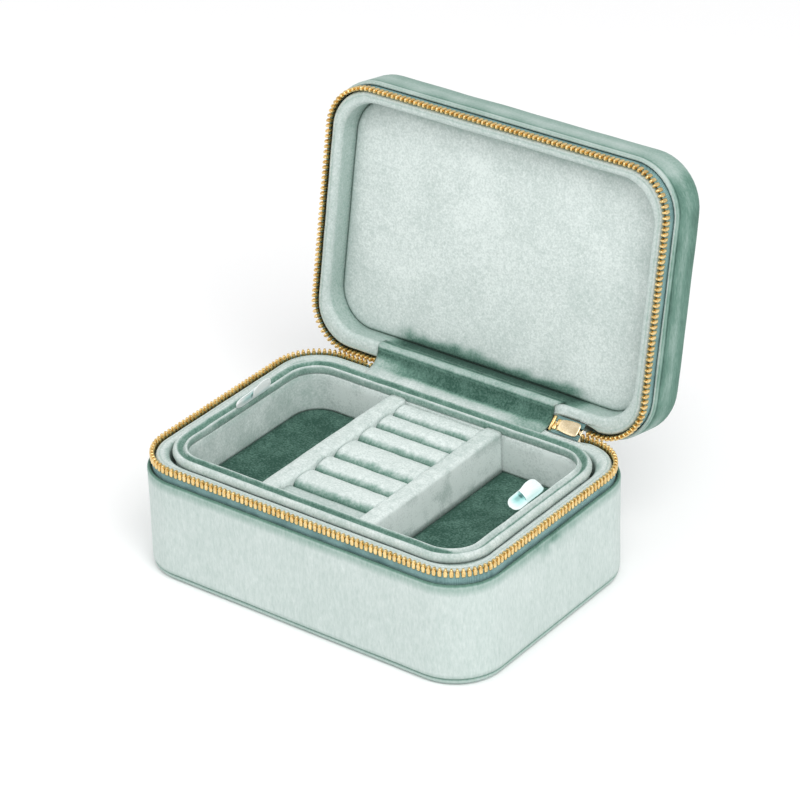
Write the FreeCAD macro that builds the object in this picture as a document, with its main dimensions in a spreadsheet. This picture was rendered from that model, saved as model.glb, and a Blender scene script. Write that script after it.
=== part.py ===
import FreeCAD, Part
import math
import os

import Sketcher
from FreeCAD import Placement, Rotation, Vector

# Travel jewelry case: a rigid box in two halves, covered in velvet, with a zipper around
# three and a half sides, a lift-out tray and a fabric hinge at the back.
# Row frame: +X along the long side, +Y to the hinge side, +Z up, origin at the centre of
# the underside of the base. Everything of the lid is drawn closed and then turned open
# about the hinge line; the zipper's closed end is drawn closed and turned half as far.
# Insets are measured inwards from the outer faces of the closed case.

DIMENSIONS = (
    # outer form
    ("case_length", 150.0),
    ("case_depth", 105.0),
    ("case_height", 70.0),
    ("corner_radius", 19.3),
    ("parting_height", 45.7),
    ("tape_reveal", 5.1),
    ("cover_skin", 1.5),
    ("cover_top_skin", 1.6),
    ("lid_edge_radius", 6.0),
    ("lid_inner_edge_radius", 4.5),
    ("rolled_edge_radius", 0.7),
    ("panel_thickness", 2.5),
    ("panel_inset", 0.6),
    ("panel_edge_radius", 2.0),
    ("base_foot_radius", 1.0),
    # boards and liners
    ("board_inset", 2.3),
    ("board_thickness", 1.8),
    ("board_drop", 5.6),
    ("board_edge_radius", 4.0),
    ("liner_inset", 4.2),
    ("liner_inner_inset", 7.0),
    ("liner_corner", 15.0),
    ("rear_extra", 1.6),
    ("lip_inset", 3.5),
    ("lip_drop", 1.6),
    ("lip_height", 3.8),
    ("lip_outer_radius", 2.4),
    ("lip_inner_radius", 1.0),
    ("slider_notch", 1.6),
    ("joint_gap", 0.1),
    ("floor_pad_thickness", 1.4),
    ("collar_thickness", 2.0),
    # zipper
    ("tape_inset", 1.6),
    ("tape_thickness", 0.6),
    ("tape_width", 11.0),
    ("tooth_pitch", 2.0),
    ("tooth_thickness", 0.7),
    ("tooth_width", 1.6),
    ("tooth_length", 3.0),
    ("tooth_engagement", 0.5),
    ("chain_start", 51.0),
    ("chain_end", -44.5),
    # hinge side
    ("hinge_inset", 1.1),
    ("hinge_drop", 0.5),
    ("lid_open_angle", 100.6),
    ("strip_left", -42.0),
    ("strip_right", 36.8),
    ("spine_left", -42.0),
    ("spine_right", 36.0),
    # tray
    ("tray_gap", 0.9),
    ("tray_radius", 15.9),
    ("tray_floor_height", 26.4),
    ("tray_board_thickness", 1.5),
    ("tray_rim_width", 5.0),
    ("tray_rim_height", 3.7),
    ("tray_rim_top", 47.0),
    ("rim_edge_radius", 1.5),
    ("tray_pad_thickness", 0.8),
    ("divider_inner", 17.8),
    ("divider_thickness", 7.0),
    ("divider_top", 44.8),
    ("ring_base_top", 37.5),
    ("ring_roll_top", 44.0),
    ("ring_roll_radius", 3.4),
    ("ring_strip_top", 42.8),
    ("roll_first", 9.0),
    ("roll_second", 10.3),
    ("roll_third", 10.5),
    ("roll_fourth", 14.4),
    ("roll_fifth", 10.8),
    ("roll_sixth", 12.3),
    # lid filling
    ("lid_pad_face", 55.8),
    ("lid_pad_thickness", 4.6),
    ("lid_panel_thickness", 1.5),
    # tray pulls
    ("ribbon_length_left", 20.0),
    ("ribbon_length_right", 18.5),
    ("ribbon_centre_left", 3.6),
    ("ribbon_centre_right", 2.4),
    ("ribbon_height", 6.3),
    ("ribbon_thickness", 0.5),
    ("ribbon_corner", 2.5),
    ("ribbon_reach", 61.8),
    ("ribbon_root", 46.4),
    ("ribbon_lean_left", 18.0),
    ("ribbon_lean_right", 50.0),
    # slider and pull
    ("slider_centre", 45.1),
    ("slider_length", 9.0),
    ("slider_width", 7.0),
    ("slider_channel", 1.9),
    ("slider_plate", 0.5),
    ("slider_flange", 0.35),
    ("slider_post", 1.6),
    ("slider_post_length", 1.8),
    ("slider_round", 0.45),
    ("tape_slot", 0.9),
    ("bail_span", 6.4),
    ("bail_rise", 2.8),
    ("bail_width", 1.1),
    ("bail_bar", 0.8),
    ("pull_pivot", 2.5),
    ("pull_length", 24.0),
    ("pull_width", 3.6),
    ("pull_eye_width", 3.3),
    ("pull_eye_end", 0.5),
    ("pull_window_width", 1.7),
    ("pull_window_start", 0.4),
    ("pull_window_end", 3.9),
    ("pull_shoulder", 5.0),
    ("pull_thickness", 1.0),
)

ROLLS = ("roll_first", "roll_second", "roll_third", "roll_fourth", "roll_fifth", "roll_sixth")

doc = FreeCAD.newDocument("travel_jewelry_case")
sheet = doc.addObject("Spreadsheet::Sheet", "dims")
for row, (alias, value) in enumerate(DIMENSIONS, start=1):
    sheet.set("A%d" % row, alias)
    sheet.set("B%d" % row, str(value))
    sheet.setAlias("B%d" % row, alias)
doc.recompute()


def dim(alias):
    """The number that a sheet cell holds."""
    return float(getattr(sheet, alias))


def bind(text):
    """An expression on the sheet: every word that is an alias gets the sheet's name."""
    aliases = {alias for alias, _ in DIMENSIONS}
    words = text.replace("(", " ( ").replace(")", " ) ").split()
    return " ".join("dims." + word if word in aliases else word for word in words)


# ---------------------------------------------------------------- frames of the moving halves

HINGE_Y = dim("case_depth") / 2 - dim("hinge_inset")
HINGE_Z = dim("parting_height") - dim("hinge_drop")
HINGE = Vector(0, HINGE_Y, HINGE_Z)
AT_BASE = Placement()
AT_LID = Placement(Vector(0, 0, 0), Rotation(Vector(1, 0, 0), -dim("lid_open_angle")), HINGE)
AT_ZIP_END = Placement(Vector(0, 0, 0), Rotation(Vector(1, 0, 0), -dim("lid_open_angle") / 2), HINGE)

subparts = []


def keep(piece, label, placement):
    piece.Label = label
    piece.Placement = placement
    subparts.append(piece)
    return piece


# ---------------------------------------------------------------- sketch and feature helpers


def new_body(name):
    return doc.addObject("PartDesign::Body", name + "_body")


def plane(body, role):
    return next(f for f in body.Origin.OriginFeatures if f.Role == role)


def new_sketch(body, role, offset):
    """A sketch on one of the body's own origin planes, moved off it by an expression."""
    sketch = body.newObject("Sketcher::SketchObject", "outline")
    sketch.AttachmentSupport = (plane(body, role), [""])
    sketch.MapMode = "FlatFace"
    sketch.setExpression("AttachmentOffset.Base.z", bind(offset))
    return sketch


def bound(sketch, name, expression, *constraint):
    index = sketch.addConstraint(Sketcher.Constraint(*constraint))
    sketch.renameConstraint(index, name)
    sketch.setExpression("Constraints." + name, bind(expression))


def draw_rectangle(sketch, tag, left, right, front, back):
    corners = [Vector(-10, -10, 0), Vector(10, -10, 0), Vector(10, 10, 0), Vector(-10, 10, 0)]
    first = sketch.GeometryCount
    for i in range(4):
        sketch.addGeometry(Part.LineSegment(corners[i], corners[(i + 1) % 4]))
    for i in range(4):
        sketch.addConstraint(Sketcher.Constraint("Coincident", first + i, 2, first + (i + 1) % 4, 1))
        sketch.addConstraint(Sketcher.Constraint(("Horizontal", "Vertical")[i % 2], first + i))
    bound(sketch, tag + "_left", left, "DistanceX", -1, 1, first, 1, -10.0)
    bound(sketch, tag + "_right", right, "DistanceX", -1, 1, first, 2, 10.0)
    bound(sketch, tag + "_front", front, "DistanceY", -1, 1, first, 1, -10.0)
    bound(sketch, tag + "_back", back, "DistanceY", -1, 1, first + 2, 1, 10.0)


def draw_rounded(sketch, tag, half, front, back, radius):
    """A rectangle, centred on X, with round corners: four arcs joined by tangent lines."""
    reach, bend = 40.0, 5.0
    turn = math.pi / 2
    first = sketch.GeometryCount
    centres = [(1, 1), (-1, 1), (-1, -1), (1, -1)]
    for i, (sx, sy) in enumerate(centres):
        circle = Part.Circle(Vector(sx * (reach - bend), sy * (reach - bend), 0), Vector(0, 0, 1), bend)
        sketch.addGeometry(Part.ArcOfCircle(circle, i * turn, (i + 1) * turn))
    for i, (sx, sy) in enumerate(centres):
        tx, ty = centres[(i + 1) % 4]
        if i % 2 == 0:
            start, end = (sx * (reach - bend), sy * reach), (tx * (reach - bend), ty * reach)
        else:
            start, end = (sx * reach, sy * (reach - bend)), (tx * reach, ty * (reach - bend))
        sketch.addGeometry(Part.LineSegment(Vector(*start, 0), Vector(*end, 0)))
    for i in range(4):
        line = first + 4 + i
        sketch.addConstraint(Sketcher.Constraint("Tangent", first + i, 2, line, 1))
        sketch.addConstraint(Sketcher.Constraint("Tangent", line, 2, first + (i + 1) % 4, 1))
        sketch.addConstraint(Sketcher.Constraint(("Horizontal", "Vertical")[i % 2], line))
    for i in range(3):
        sketch.addConstraint(Sketcher.Constraint("Equal", first + i, first + i + 1))
    side = reach - bend
    bound(sketch, tag + "_right", "%s - ( %s )" % (half, radius), "DistanceX", -1, 1, first, 3, side)
    bound(sketch, tag + "_left", "( %s ) - ( %s )" % (radius, half), "DistanceX", -1, 1, first + 1, 3, -side)
    bound(sketch, tag + "_back", "%s - ( %s )" % (back, radius), "DistanceY", -1, 1, first, 3, side)
    bound(sketch, tag + "_front", "%s + ( %s )" % (front, radius), "DistanceY", -1, 1, first + 2, 3, -side)
    bound(sketch, tag + "_radius", radius, "Radius", first, bend)


def pad(body, sketch, length, midplane=False):
    feature = body.newObject("PartDesign::Pad", "pad")
    feature.Profile = sketch
    feature.setExpression("Length", bind(length))
    if midplane:
        feature.SideType = "Symmetric"
    sketch.Visibility = False
    return feature


def pocket(body, sketch, length, midplane=False, upwards=True):
    """A pocket that cuts to the sketch's +normal side, or to both sides."""
    feature = body.newObject("PartDesign::Pocket", "pocket")
    feature.Profile = sketch
    feature.setExpression("Length", bind(length))
    if midplane:
        feature.SideType = "Symmetric"
    else:
        feature.Reversed = upwards
    sketch.Visibility = False
    return feature


def round_edges(body, radius, wanted):
    """Fillets every edge of the body's tip whose bounding box passes the test."""
    doc.recompute()
    tip = body.Tip
    names = ["Edge%d" % (i + 1) for i, edge in enumerate(tip.Shape.Edges) if wanted(edge.BoundBox)]
    feature = body.newObject("PartDesign::Fillet", "fillet")
    feature.Base = (tip, names)
    feature.setExpression("Radius", bind(radius))
    return feature


def side_edge(x, z):
    """A test for the straight edge along Y at a given x and z; a fillet runs on from it."""
    return lambda box: max(abs(box.XMin - x), abs(box.XMax - x), abs(box.ZMin - z), abs(box.ZMax - z)) < 0.01


def long_edge(y, z):
    """A test for the straight edge along X at a given y and z."""
    return lambda box: max(abs(box.YMin - y), abs(box.YMax - y), abs(box.ZMin - z), abs(box.ZMax - z)) < 0.01


def case_loop(inset, rear="0"):
    """Outline of the case at an inset, as half width, front, back and corner radius."""
    half = "case_length / 2 - ( %s )" % inset
    front = "( %s ) - case_depth / 2" % inset
    back = "case_depth / 2 - ( %s ) - %s" % (inset, rear)
    return half, front, back, "corner_radius - ( %s )" % inset


def room_loop(clearance):
    """Outline of the space inside the liner, less a clearance all round."""
    half, front, back, _ = case_loop("liner_inner_inset + %s" % clearance, "rear_extra")
    return half, front, back, "liner_corner - ( %s )" % clearance


def tray_loop(depth):
    """Outline of the tray at a depth in from its outer face."""
    inset = "liner_inner_inset + tray_gap + %s" % depth
    half, front, back, _ = case_loop(inset, "rear_extra")
    return half, front, back, "tray_radius - ( %s )" % depth


def ring(label, outer, inner, low, high, placement):
    """A wall that runs all the way around, from low to high."""
    body = new_body(label)
    sketch = new_sketch(body, "XY_Plane", low)
    draw_rounded(sketch, "outer", *outer)
    draw_rounded(sketch, "inner", *inner)
    pad(body, sketch, "( %s ) - ( %s )" % (high, low))
    return keep(body, label, placement)


def slab(label, loop, low, high, placement):
    body = new_body(label)
    sketch = new_sketch(body, "XY_Plane", low)
    draw_rounded(sketch, "outer", *loop)
    pad(body, sketch, "( %s ) - ( %s )" % (high, low))
    return keep(body, label, placement)


def block(label, left, right, front, back, low, high, placement):
    body = new_body(label)
    sketch = new_sketch(body, "XY_Plane", low)
    draw_rectangle(sketch, "side", left, right, front, back)
    pad(body, sketch, "( %s ) - ( %s )" % (high, low))
    return keep(body, label, placement)


def profile_band(label, points, left, right, placement):
    """A band of constant section along X. Each point is a pair: how far it lies in from the
    rear face of the case, and how far above the parting line."""
    body = new_body(label)
    sketch = new_sketch(body, "YZ_Plane", left)
    rear, parting = dim("case_depth") / 2, dim("parting_height")
    count = len(points)
    for i in range(count):
        (inward, above), (next_inward, next_above) = points[i], points[(i + 1) % count]
        start = Vector(rear - inward, parting + above, 0)
        end = Vector(rear - next_inward, parting + next_above, 0)
        sketch.addGeometry(Part.LineSegment(start, end))
    for i in range(count):
        sketch.addConstraint(Sketcher.Constraint("Coincident", i, 2, (i + 1) % count, 1))
    for i, (inward, above) in enumerate(points):
        y, z = "case_depth / 2 - %.2f" % inward, "parting_height + %.2f" % above
        bound(sketch, "y%d" % i, y, "DistanceX", -1, 1, i, 1, rear - inward)
        bound(sketch, "z%d" % i, z, "DistanceY", -1, 1, i, 1, parting + above)
    pad(body, sketch, "( %s ) - ( %s )" % (right, left))
    return keep(body, label, placement)


# ---------------------------------------------------------------- base half

HALF = dim("case_length") / 2
PARTING = dim("parting_height")
COVER_LOW = "panel_thickness + joint_gap"
COVER_TOP = "parting_height - tape_reveal"
BOARD_TOP = "parting_height - board_drop"
INNER_FLOOR = "panel_thickness + board_thickness + 2 * joint_gap"
LIP_TOP = "parting_height - lip_drop"
LIP_LOW = "parting_height - lip_drop - lip_height"

panel = slab("bottom_panel", case_loop("panel_inset"), "0", "panel_thickness", AT_BASE)
round_edges(panel, "panel_edge_radius", side_edge(HALF - dim("panel_inset"), 0))

cover = ring("base_cover", case_loop("0"), case_loop("cover_skin"), COVER_LOW, COVER_TOP, AT_BASE)
cover_low = dim("panel_thickness") + dim("joint_gap")
cover_top = PARTING - dim("tape_reveal")
round_edges(cover, "rolled_edge_radius", side_edge(HALF, cover_top))
round_edges(cover, "rolled_edge_radius", side_edge(HALF - dim("cover_skin"), cover_top))
round_edges(cover, "base_foot_radius", side_edge(HALF, cover_low))

board = slab("base_board", case_loop("board_inset"), COVER_LOW, BOARD_TOP, AT_BASE)
hollow = new_sketch(board, "XY_Plane", COVER_LOW + " + board_thickness")
draw_rounded(hollow, "inner", *case_loop("board_inset + board_thickness"))
pocket(board, hollow, BOARD_TOP)


def tape(label, low, high, placement):
    """The zipper tape of one half: a ring that stops at both ends of the chain."""
    loop = case_loop("tape_inset"), case_loop("tape_inset + tape_thickness")
    body = ring(label, *loop, low, high, placement)
    gap = new_sketch(body, "XY_Plane", low)
    draw_rectangle(gap, "gap", "chain_end + 2", "chain_start - 0.5", "0", "case_depth / 2 + 1")
    pocket(body, gap, "tape_width")
    return body


TOOTH_CENTRE = "tape_inset + tape_thickness / 2"
TAPE_EDGE = 1.2
tape("base_tape", "parting_height - 1.2 - tape_width", "parting_height - 1.2", AT_BASE)


def chain_frames(pitch, count, offset):
    """Places along the chain: (position, outward normal), starting at the slider end."""
    inset = dim("tape_inset") + dim("tape_thickness") / 2
    x, y = HALF - inset, dim("case_depth") / 2 - inset
    bend = dim("corner_radius") - inset
    turn = math.pi / 2
    legs = [
        (x - bend - dim("chain_start"), Vector(dim("chain_start"), y, 0), Vector(1, 0, 0)),
        (2 * (y - bend), Vector(x, y - bend, 0), Vector(0, -1, 0)),
        (2 * (x - bend), Vector(x - bend, -y, 0), Vector(-1, 0, 0)),
        (2 * (y - bend), Vector(-x, bend - y, 0), Vector(0, 1, 0)),
        (x - bend + dim("chain_end"), Vector(bend - x, y, 0), Vector(1, 0, 0)),
    ]
    centres = [
        Vector(x - bend, y - bend, 0),
        Vector(x - bend, bend - y, 0),
        Vector(bend - x, bend - y, 0),
        Vector(bend - x, y - bend, 0),
    ]
    frames = []
    for i in range(count):
        s = offset + i * pitch
        for number, (length, start, along) in enumerate(legs):
            if s <= length:
                frames.append((start + along * s, Vector(-along.y, along.x, 0)))
                break
            s -= length
            if number < 4 and s <= bend * turn:
                outward = Rotation(Vector(0, 0, 1), -math.degrees(s / bend)).multVec(
                    Vector(-along.y, along.x, 0)
                )
                frames.append((centres[number] + outward * bend, outward))
                break
            s -= bend * turn
        else:
            break
    return frames


def tooth(side, length, thickness):
    """One tooth at the origin, astride the tape edge; side is -1 below and +1 above."""
    half_width = dim("tooth_width") / 2
    over, crown = dim("tooth_engagement"), 0.35
    leg, edge = half_width - 0.45, TAPE_EDGE - 0.1
    outline = [
        (-half_width, -length),
        (-half_width, over - crown),
        (-half_width + crown, over),
        (half_width - crown, over),
        (half_width, over - crown),
        (half_width, -length),
        (leg, -length),
        (leg, -edge),
        (-leg, -edge),
        (-leg, -length),
    ]
    points = [Vector(-thickness / 2, n, -side * z) for n, z in outline]
    face = Part.Face(Part.makePolygon(points + points[:1]))
    return face.extrude(Vector(thickness, 0, 0))


def tooth_row(label, side, frames, placement):
    """All the teeth of one tape, as separate solids in one group."""
    pattern = tooth(side, dim("tooth_length"), dim("tooth_thickness"))
    solids = []
    for position, outward in frames:
        angle = math.degrees(math.atan2(outward.y, outward.x)) - 90
        one = pattern.copy()
        one.Placement = Placement(position + Vector(0, 0, PARTING), Rotation(Vector(0, 0, 1), angle))
        solids.append(one)
    row = doc.addObject("Part::Feature", label + "_row")
    row.Shape = Part.makeCompound(solids)
    return keep(row, label, placement)


BASE, LID = -1, 1
pitch = dim("tooth_pitch")
tooth_row("base_teeth", BASE, chain_frames(pitch, 400, 0.0), AT_BASE)


def end_stop(label, side, placement):
    """The metal stop at the far end of one tape: a small staple of the tooth's section."""
    body = new_body(label)
    sketch = new_sketch(body, "YZ_Plane", "chain_end + 1.1")
    row = dim("case_depth") / 2 - dim("tape_inset") - dim("tape_thickness") / 2
    outline = [(-0.9, 3.2), (-0.9, 0.3), (0.9, 0.3), (0.9, 3.2), (0.35, 3.2), (0.35, 1.1), (-0.35, 1.1), (-0.35, 3.2)]
    count = len(outline)
    at = [(row + n, PARTING + side * z) for n, z in outline]
    for i in range(count):
        sketch.addGeometry(Part.LineSegment(Vector(*at[i], 0), Vector(*at[(i + 1) % count], 0)))
    for i, (n, z) in enumerate(outline):
        sketch.addConstraint(Sketcher.Constraint("Coincident", i, 2, (i + 1) % count, 1))
    for i, (n, z) in enumerate(outline):
        y = "case_depth / 2 - tape_inset - tape_thickness / 2 + %.2f" % n
        bound(sketch, "y%d" % i, y, "DistanceX", -1, 1, i, 1, at[i][0])
        bound(sketch, "z%d" % i, "parting_height + %.2f" % (side * z), "DistanceY", -1, 1, i, 1, at[i][1])
    pad(body, sketch, "1.2", midplane=True)
    return keep(body, label, placement)


end_stop("base_end_stop", BASE, AT_BASE)

LINER_INNER = room_loop("0")


def liner(label, wall_low, wall_length, lip_low, lip_edge, placement):
    """The stiff lining of one half: a wall and, at the parting line, a thicker lip."""
    body = ring(label, case_loop("liner_inset"), LINER_INNER, wall_low, wall_low + " + " + wall_length, placement)
    lip = new_sketch(body, "XY_Plane", lip_low)
    draw_rounded(lip, "outer", *case_loop("lip_inset"))
    draw_rounded(lip, "inner", *LINER_INNER)
    pad(body, lip, "lip_height")
    outer = HALF - dim("lip_inset")
    inner = HALF - dim("liner_inner_inset")
    round_edges(body, "lip_outer_radius", side_edge(outer, lip_edge))
    round_edges(body, "lip_inner_radius", side_edge(inner, lip_edge))
    # the lip is trimmed back where the slider turns past it
    notch = new_sketch(body, "XY_Plane", lip_low)
    draw_rectangle(notch, "notch", "strip_right + 0.9", "chain_start - 0.4",
                   "case_depth / 2 - lip_inset - slider_notch", "case_depth / 2")
    pocket(body, notch, "lip_height")
    return body


wall_length = "parting_height - lip_drop - lip_height - ( %s )" % INNER_FLOOR
liner("base_liner", INNER_FLOOR, wall_length, LIP_LOW, PARTING - dim("lip_drop"), AT_BASE)

PAD_TOP = INNER_FLOOR + " + floor_pad_thickness"
floor_loop = room_loop("2 * joint_gap")
slab("base_floor_pad", floor_loop, INNER_FLOOR, PAD_TOP, AT_BASE)

collar = (
    room_loop("joint_gap"),
    room_loop("joint_gap + collar_thickness"),
)
ring("tray_collar", *collar, PAD_TOP + " + joint_gap", "tray_floor_height - joint_gap", AT_BASE)

# fabric that bends with the lid, drawn as it lies with the lid open
HINGE_STRIP = (
    (7.6, -1.5),
    (3.9, -1.4),
    (1.2, -0.5),
    (-0.7, 1.5),
    (-1.55, 6.2),
    (-0.6, 6.4),
    (0.15, 2.1),
    (1.7, 0.45),
    (4.1, -0.4),
    (7.6, -0.5),
)
profile_band("hinge_strip", HINGE_STRIP, "strip_left", "strip_right", AT_BASE)
SPINE_BAND = (
    (0.2, -5.0),
    (0.2, -2.05),
    (-3.75, -2.4),
    (-3.85, -1.6),
    (1.0, -1.2),
    (1.0, -5.0),
)
profile_band("spine_band", SPINE_BAND, "spine_left", "spine_right", AT_BASE)

# ---------------------------------------------------------------- tray

TRAY_WALL_TOP = "tray_rim_top - tray_rim_height - joint_gap"
TRAY_FLOOR = "tray_floor_height + tray_board_thickness + joint_gap"
rim_low = dim("tray_rim_top") - dim("tray_rim_height")
tray_half = HALF - dim("liner_inner_inset") - dim("tray_gap")

tray = slab("tray_board", tray_loop("0.4"), "tray_floor_height", TRAY_WALL_TOP, AT_BASE)
hollow = new_sketch(tray, "XY_Plane", "tray_floor_height + tray_board_thickness")
draw_rounded(hollow, "inner", *tray_loop("0.4 + tray_board_thickness"))
pocket(tray, hollow, "tray_rim_top")
round_edges(tray, "rim_edge_radius", side_edge(tray_half - 0.4, dim("tray_floor_height")))

rim_loops = tray_loop("0"), tray_loop("tray_rim_width")
rim = ring("tray_rim", *rim_loops, "tray_rim_top - tray_rim_height", "tray_rim_top", AT_BASE)
round_edges(rim, "rim_edge_radius", side_edge(tray_half, dim("tray_rim_top")))
inner_half = tray_half - dim("tray_rim_width")
round_edges(rim, "rim_edge_radius", side_edge(inner_half, dim("tray_rim_top")))

lining_loops = tray_loop("0.5 + tray_board_thickness"), tray_loop("tray_rim_width - joint_gap")
ring("tray_lining", *lining_loops, TRAY_FLOOR, TRAY_WALL_TOP, AT_BASE)

DIVIDER_OUTER = "divider_inner + divider_thickness"
for side, name in ((-1, "left"), (1, "right")):
    # floor of one side compartment: the whole tray floor less what lies past the divider
    pad_body = slab("tray_pad_" + name, tray_loop("tray_rim_width"), TRAY_FLOOR,
                    TRAY_FLOOR + " + tray_pad_thickness", AT_BASE)
    rest = new_sketch(pad_body, "XY_Plane", TRAY_FLOOR)
    near, far = "%d * ( %s + joint_gap )" % (side, DIVIDER_OUTER), "%d * case_length / 2" % -side
    left, right = (far, near) if side > 0 else (near, far)
    draw_rectangle(rest, "rest", left, right, "0 - case_depth / 2", "case_depth / 2")
    pocket(pad_body, rest, "tray_pad_thickness")

ROOM_BACK = "case_depth / 2 - liner_inner_inset - rear_extra - tray_gap - tray_rim_width"
ROOM_FRONT = "liner_inner_inset + tray_gap + tray_rim_width - case_depth / 2"
for side, name in ((-1, "left"), (1, "right")):
    inner, outer = "%d * divider_inner" % side, "%d * ( %s )" % (side, DIVIDER_OUTER)
    left, right = (inner, outer) if side > 0 else (outer, inner)
    wall = block("divider_" + name, left, right, ROOM_FRONT + " + joint_gap", ROOM_BACK + " - joint_gap",
                 TRAY_FLOOR, "divider_top", AT_BASE)
    for reach in (dim("divider_inner"), dim("divider_inner") + dim("divider_thickness")):
        round_edges(wall, "1.8", side_edge(side * reach, dim("divider_top")))

CELL = "divider_inner - joint_gap"
block("ring_base", "0 - ( %s )" % CELL, CELL, ROOM_FRONT + " + joint_gap", ROOM_BACK + " - joint_gap",
      TRAY_FLOOR, "ring_base_top", AT_BASE)

room_back = dim("case_depth") / 2 - dim("liner_inner_inset") - dim("rear_extra")
room_back -= dim("tray_gap") + dim("tray_rim_width")
used, used_length = "0", 0.0
for number, roll in enumerate(ROLLS, start=1):
    back = "%s - ( %s ) - joint_gap" % (ROOM_BACK, used)
    used, used_length = used + " + " + roll, used_length + dim(roll)
    front = "%s - ( %s ) + joint_gap" % (ROOM_BACK, used)
    cushion = block("ring_roll_%d" % number, "0 - ( %s )" % CELL, CELL, front, back,
                    "ring_base_top + joint_gap", "ring_roll_top", AT_BASE)
    for y in (room_back - used_length + dim("joint_gap"),
              room_back - used_length + dim(roll) - dim("joint_gap")):
        round_edges(cushion, "ring_roll_radius", long_edge(y, dim("ring_roll_top")))
strip = block("ring_strip", "0 - ( %s )" % CELL, CELL, ROOM_FRONT + " + joint_gap",
              "%s - ( %s ) - joint_gap" % (ROOM_BACK, used), "ring_base_top + joint_gap",
              "ring_strip_top", AT_BASE)
round_edges(strip, "1.2", long_edge(room_back - used_length - dim("joint_gap"), dim("ring_strip_top")))

# ---------------------------------------------------------------- lid half, drawn closed

LID_LOW = "parting_height + tape_reveal"
INNER_TOP = "case_height - cover_top_skin"
BOARD_LOW = LID_LOW + " + 0.5"
PLATE_LOW = INNER_TOP + " - joint_gap - board_thickness"
lid_low = PARTING + dim("tape_reveal")

outside = slab("lid_cover_outside", case_loop("0"), LID_LOW, "case_height", AT_BASE)
round_edges(outside, "lid_edge_radius", side_edge(HALF, dim("case_height")))
round_edges(outside, "rolled_edge_radius", side_edge(HALF, lid_low))
inside = slab("lid_cover_inside", case_loop("cover_skin"), LID_LOW + " - 1", INNER_TOP, AT_BASE)
inner_top = dim("case_height") - dim("cover_top_skin")
round_edges(inside, "lid_inner_edge_radius", side_edge(HALF - dim("cover_skin"), inner_top))
subparts.remove(outside)
subparts.remove(inside)
lid = doc.addObject("Part::Cut", "lid_cover_shell")
lid.Base = outside
lid.Tool = inside
keep(lid, "lid_cover", AT_LID)

board = slab("lid_board", case_loop("board_inset"), BOARD_LOW, INNER_TOP + " - joint_gap", AT_LID)
round_edges(board, "board_edge_radius", side_edge(HALF - dim("board_inset"), inner_top - dim("joint_gap")))
hollow = new_sketch(board, "XY_Plane", BOARD_LOW)
draw_rounded(hollow, "inner", *case_loop("board_inset + board_thickness"))
pocket(board, hollow, "%s - ( %s )" % (PLATE_LOW, BOARD_LOW))

tape("lid_tape", "parting_height + 1.2", "parting_height + 1.2 + tape_width", AT_LID)
tooth_row("lid_teeth", LID, chain_frames(pitch, 400, pitch / 2), AT_LID)
end_stop("lid_end_stop", LID, AT_LID)

lid_lip_low = "parting_height + lip_drop"
lid_wall = "%s - joint_gap - ( parting_height + lip_drop + lip_height )" % PLATE_LOW
liner("lid_liner", lid_lip_low + " + lip_height", lid_wall, lid_lip_low, PARTING + dim("lip_drop"), AT_LID)

FILL = room_loop("2 * joint_gap")
pad_loop_top = "lid_pad_face + lid_pad_thickness"
lid_pad = slab("lid_pad", FILL, "lid_pad_face", pad_loop_top, AT_LID)
fill_half = HALF - dim("liner_inner_inset") - 2 * dim("joint_gap")
round_edges(lid_pad, "1.4", side_edge(fill_half, dim("lid_pad_face")))
panel_low = pad_loop_top + " + joint_gap"
slab("lid_panel_board", FILL, panel_low, panel_low + " + lid_panel_thickness", AT_LID)
slab("lid_foam", FILL, panel_low + " + lid_panel_thickness + joint_gap", PLATE_LOW + " - joint_gap", AT_LID)

# ---------------------------------------------------------------- closed end of the zipper

ROW_Y = "case_depth / 2 - tape_inset - tape_thickness / 2"
row_y = dim("case_depth") / 2 - dim("tape_inset") - dim("tape_thickness") / 2

stop = new_body("zipper_stop")
sketch = new_sketch(stop, "YZ_Plane", "strip_right + 0.4")
draw_rectangle(sketch, "side", ROW_Y + " - 1", ROW_Y + " + 1", "parting_height - 3", "parting_height + 3")
pad(stop, sketch, "1.2")
for side in (-1, 1):
    slot = new_sketch(stop, "YZ_Plane", "strip_right + 0.4")
    low, high = ("parting_height + 1.1", "parting_height + 4") if side > 0 else (
        "parting_height - 4", "parting_height - 1.1")
    draw_rectangle(slot, "slot", ROW_Y + " - 0.35", ROW_Y + " + 0.35", low, high)
    pocket(stop, slot, "1.2")
keep(stop, "zipper_stop", AT_ZIP_END)

end_teeth = []
first_x = dim("strip_right") + 2.3
for i in range(7):
    one = tooth(BASE if i % 2 == 0 else LID, dim("tooth_length"), dim("tooth_thickness"))
    one.Placement = Placement(Vector(first_x + i * pitch / 2, row_y, PARTING), Rotation())
    end_teeth.append(one)
closed = doc.addObject("Part::Feature", "zipper_closed_teeth_row")
closed.Shape = Part.makeCompound(end_teeth)
keep(closed, "zipper_closed_teeth", AT_ZIP_END)

for side, name in ((BASE, "base"), (LID, "lid")):
    near, far = "parting_height + %d * 1.2" % side, "parting_height + %d * 3.5" % side
    low, high = (near, far) if side > 0 else (far, near)
    block("zipper_end_tape_" + name, "strip_right + 0.4", "chain_start - 0.7", ROW_Y + " - tape_thickness / 2",
          ROW_Y + " + tape_thickness / 2", low, high, AT_ZIP_END)

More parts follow.
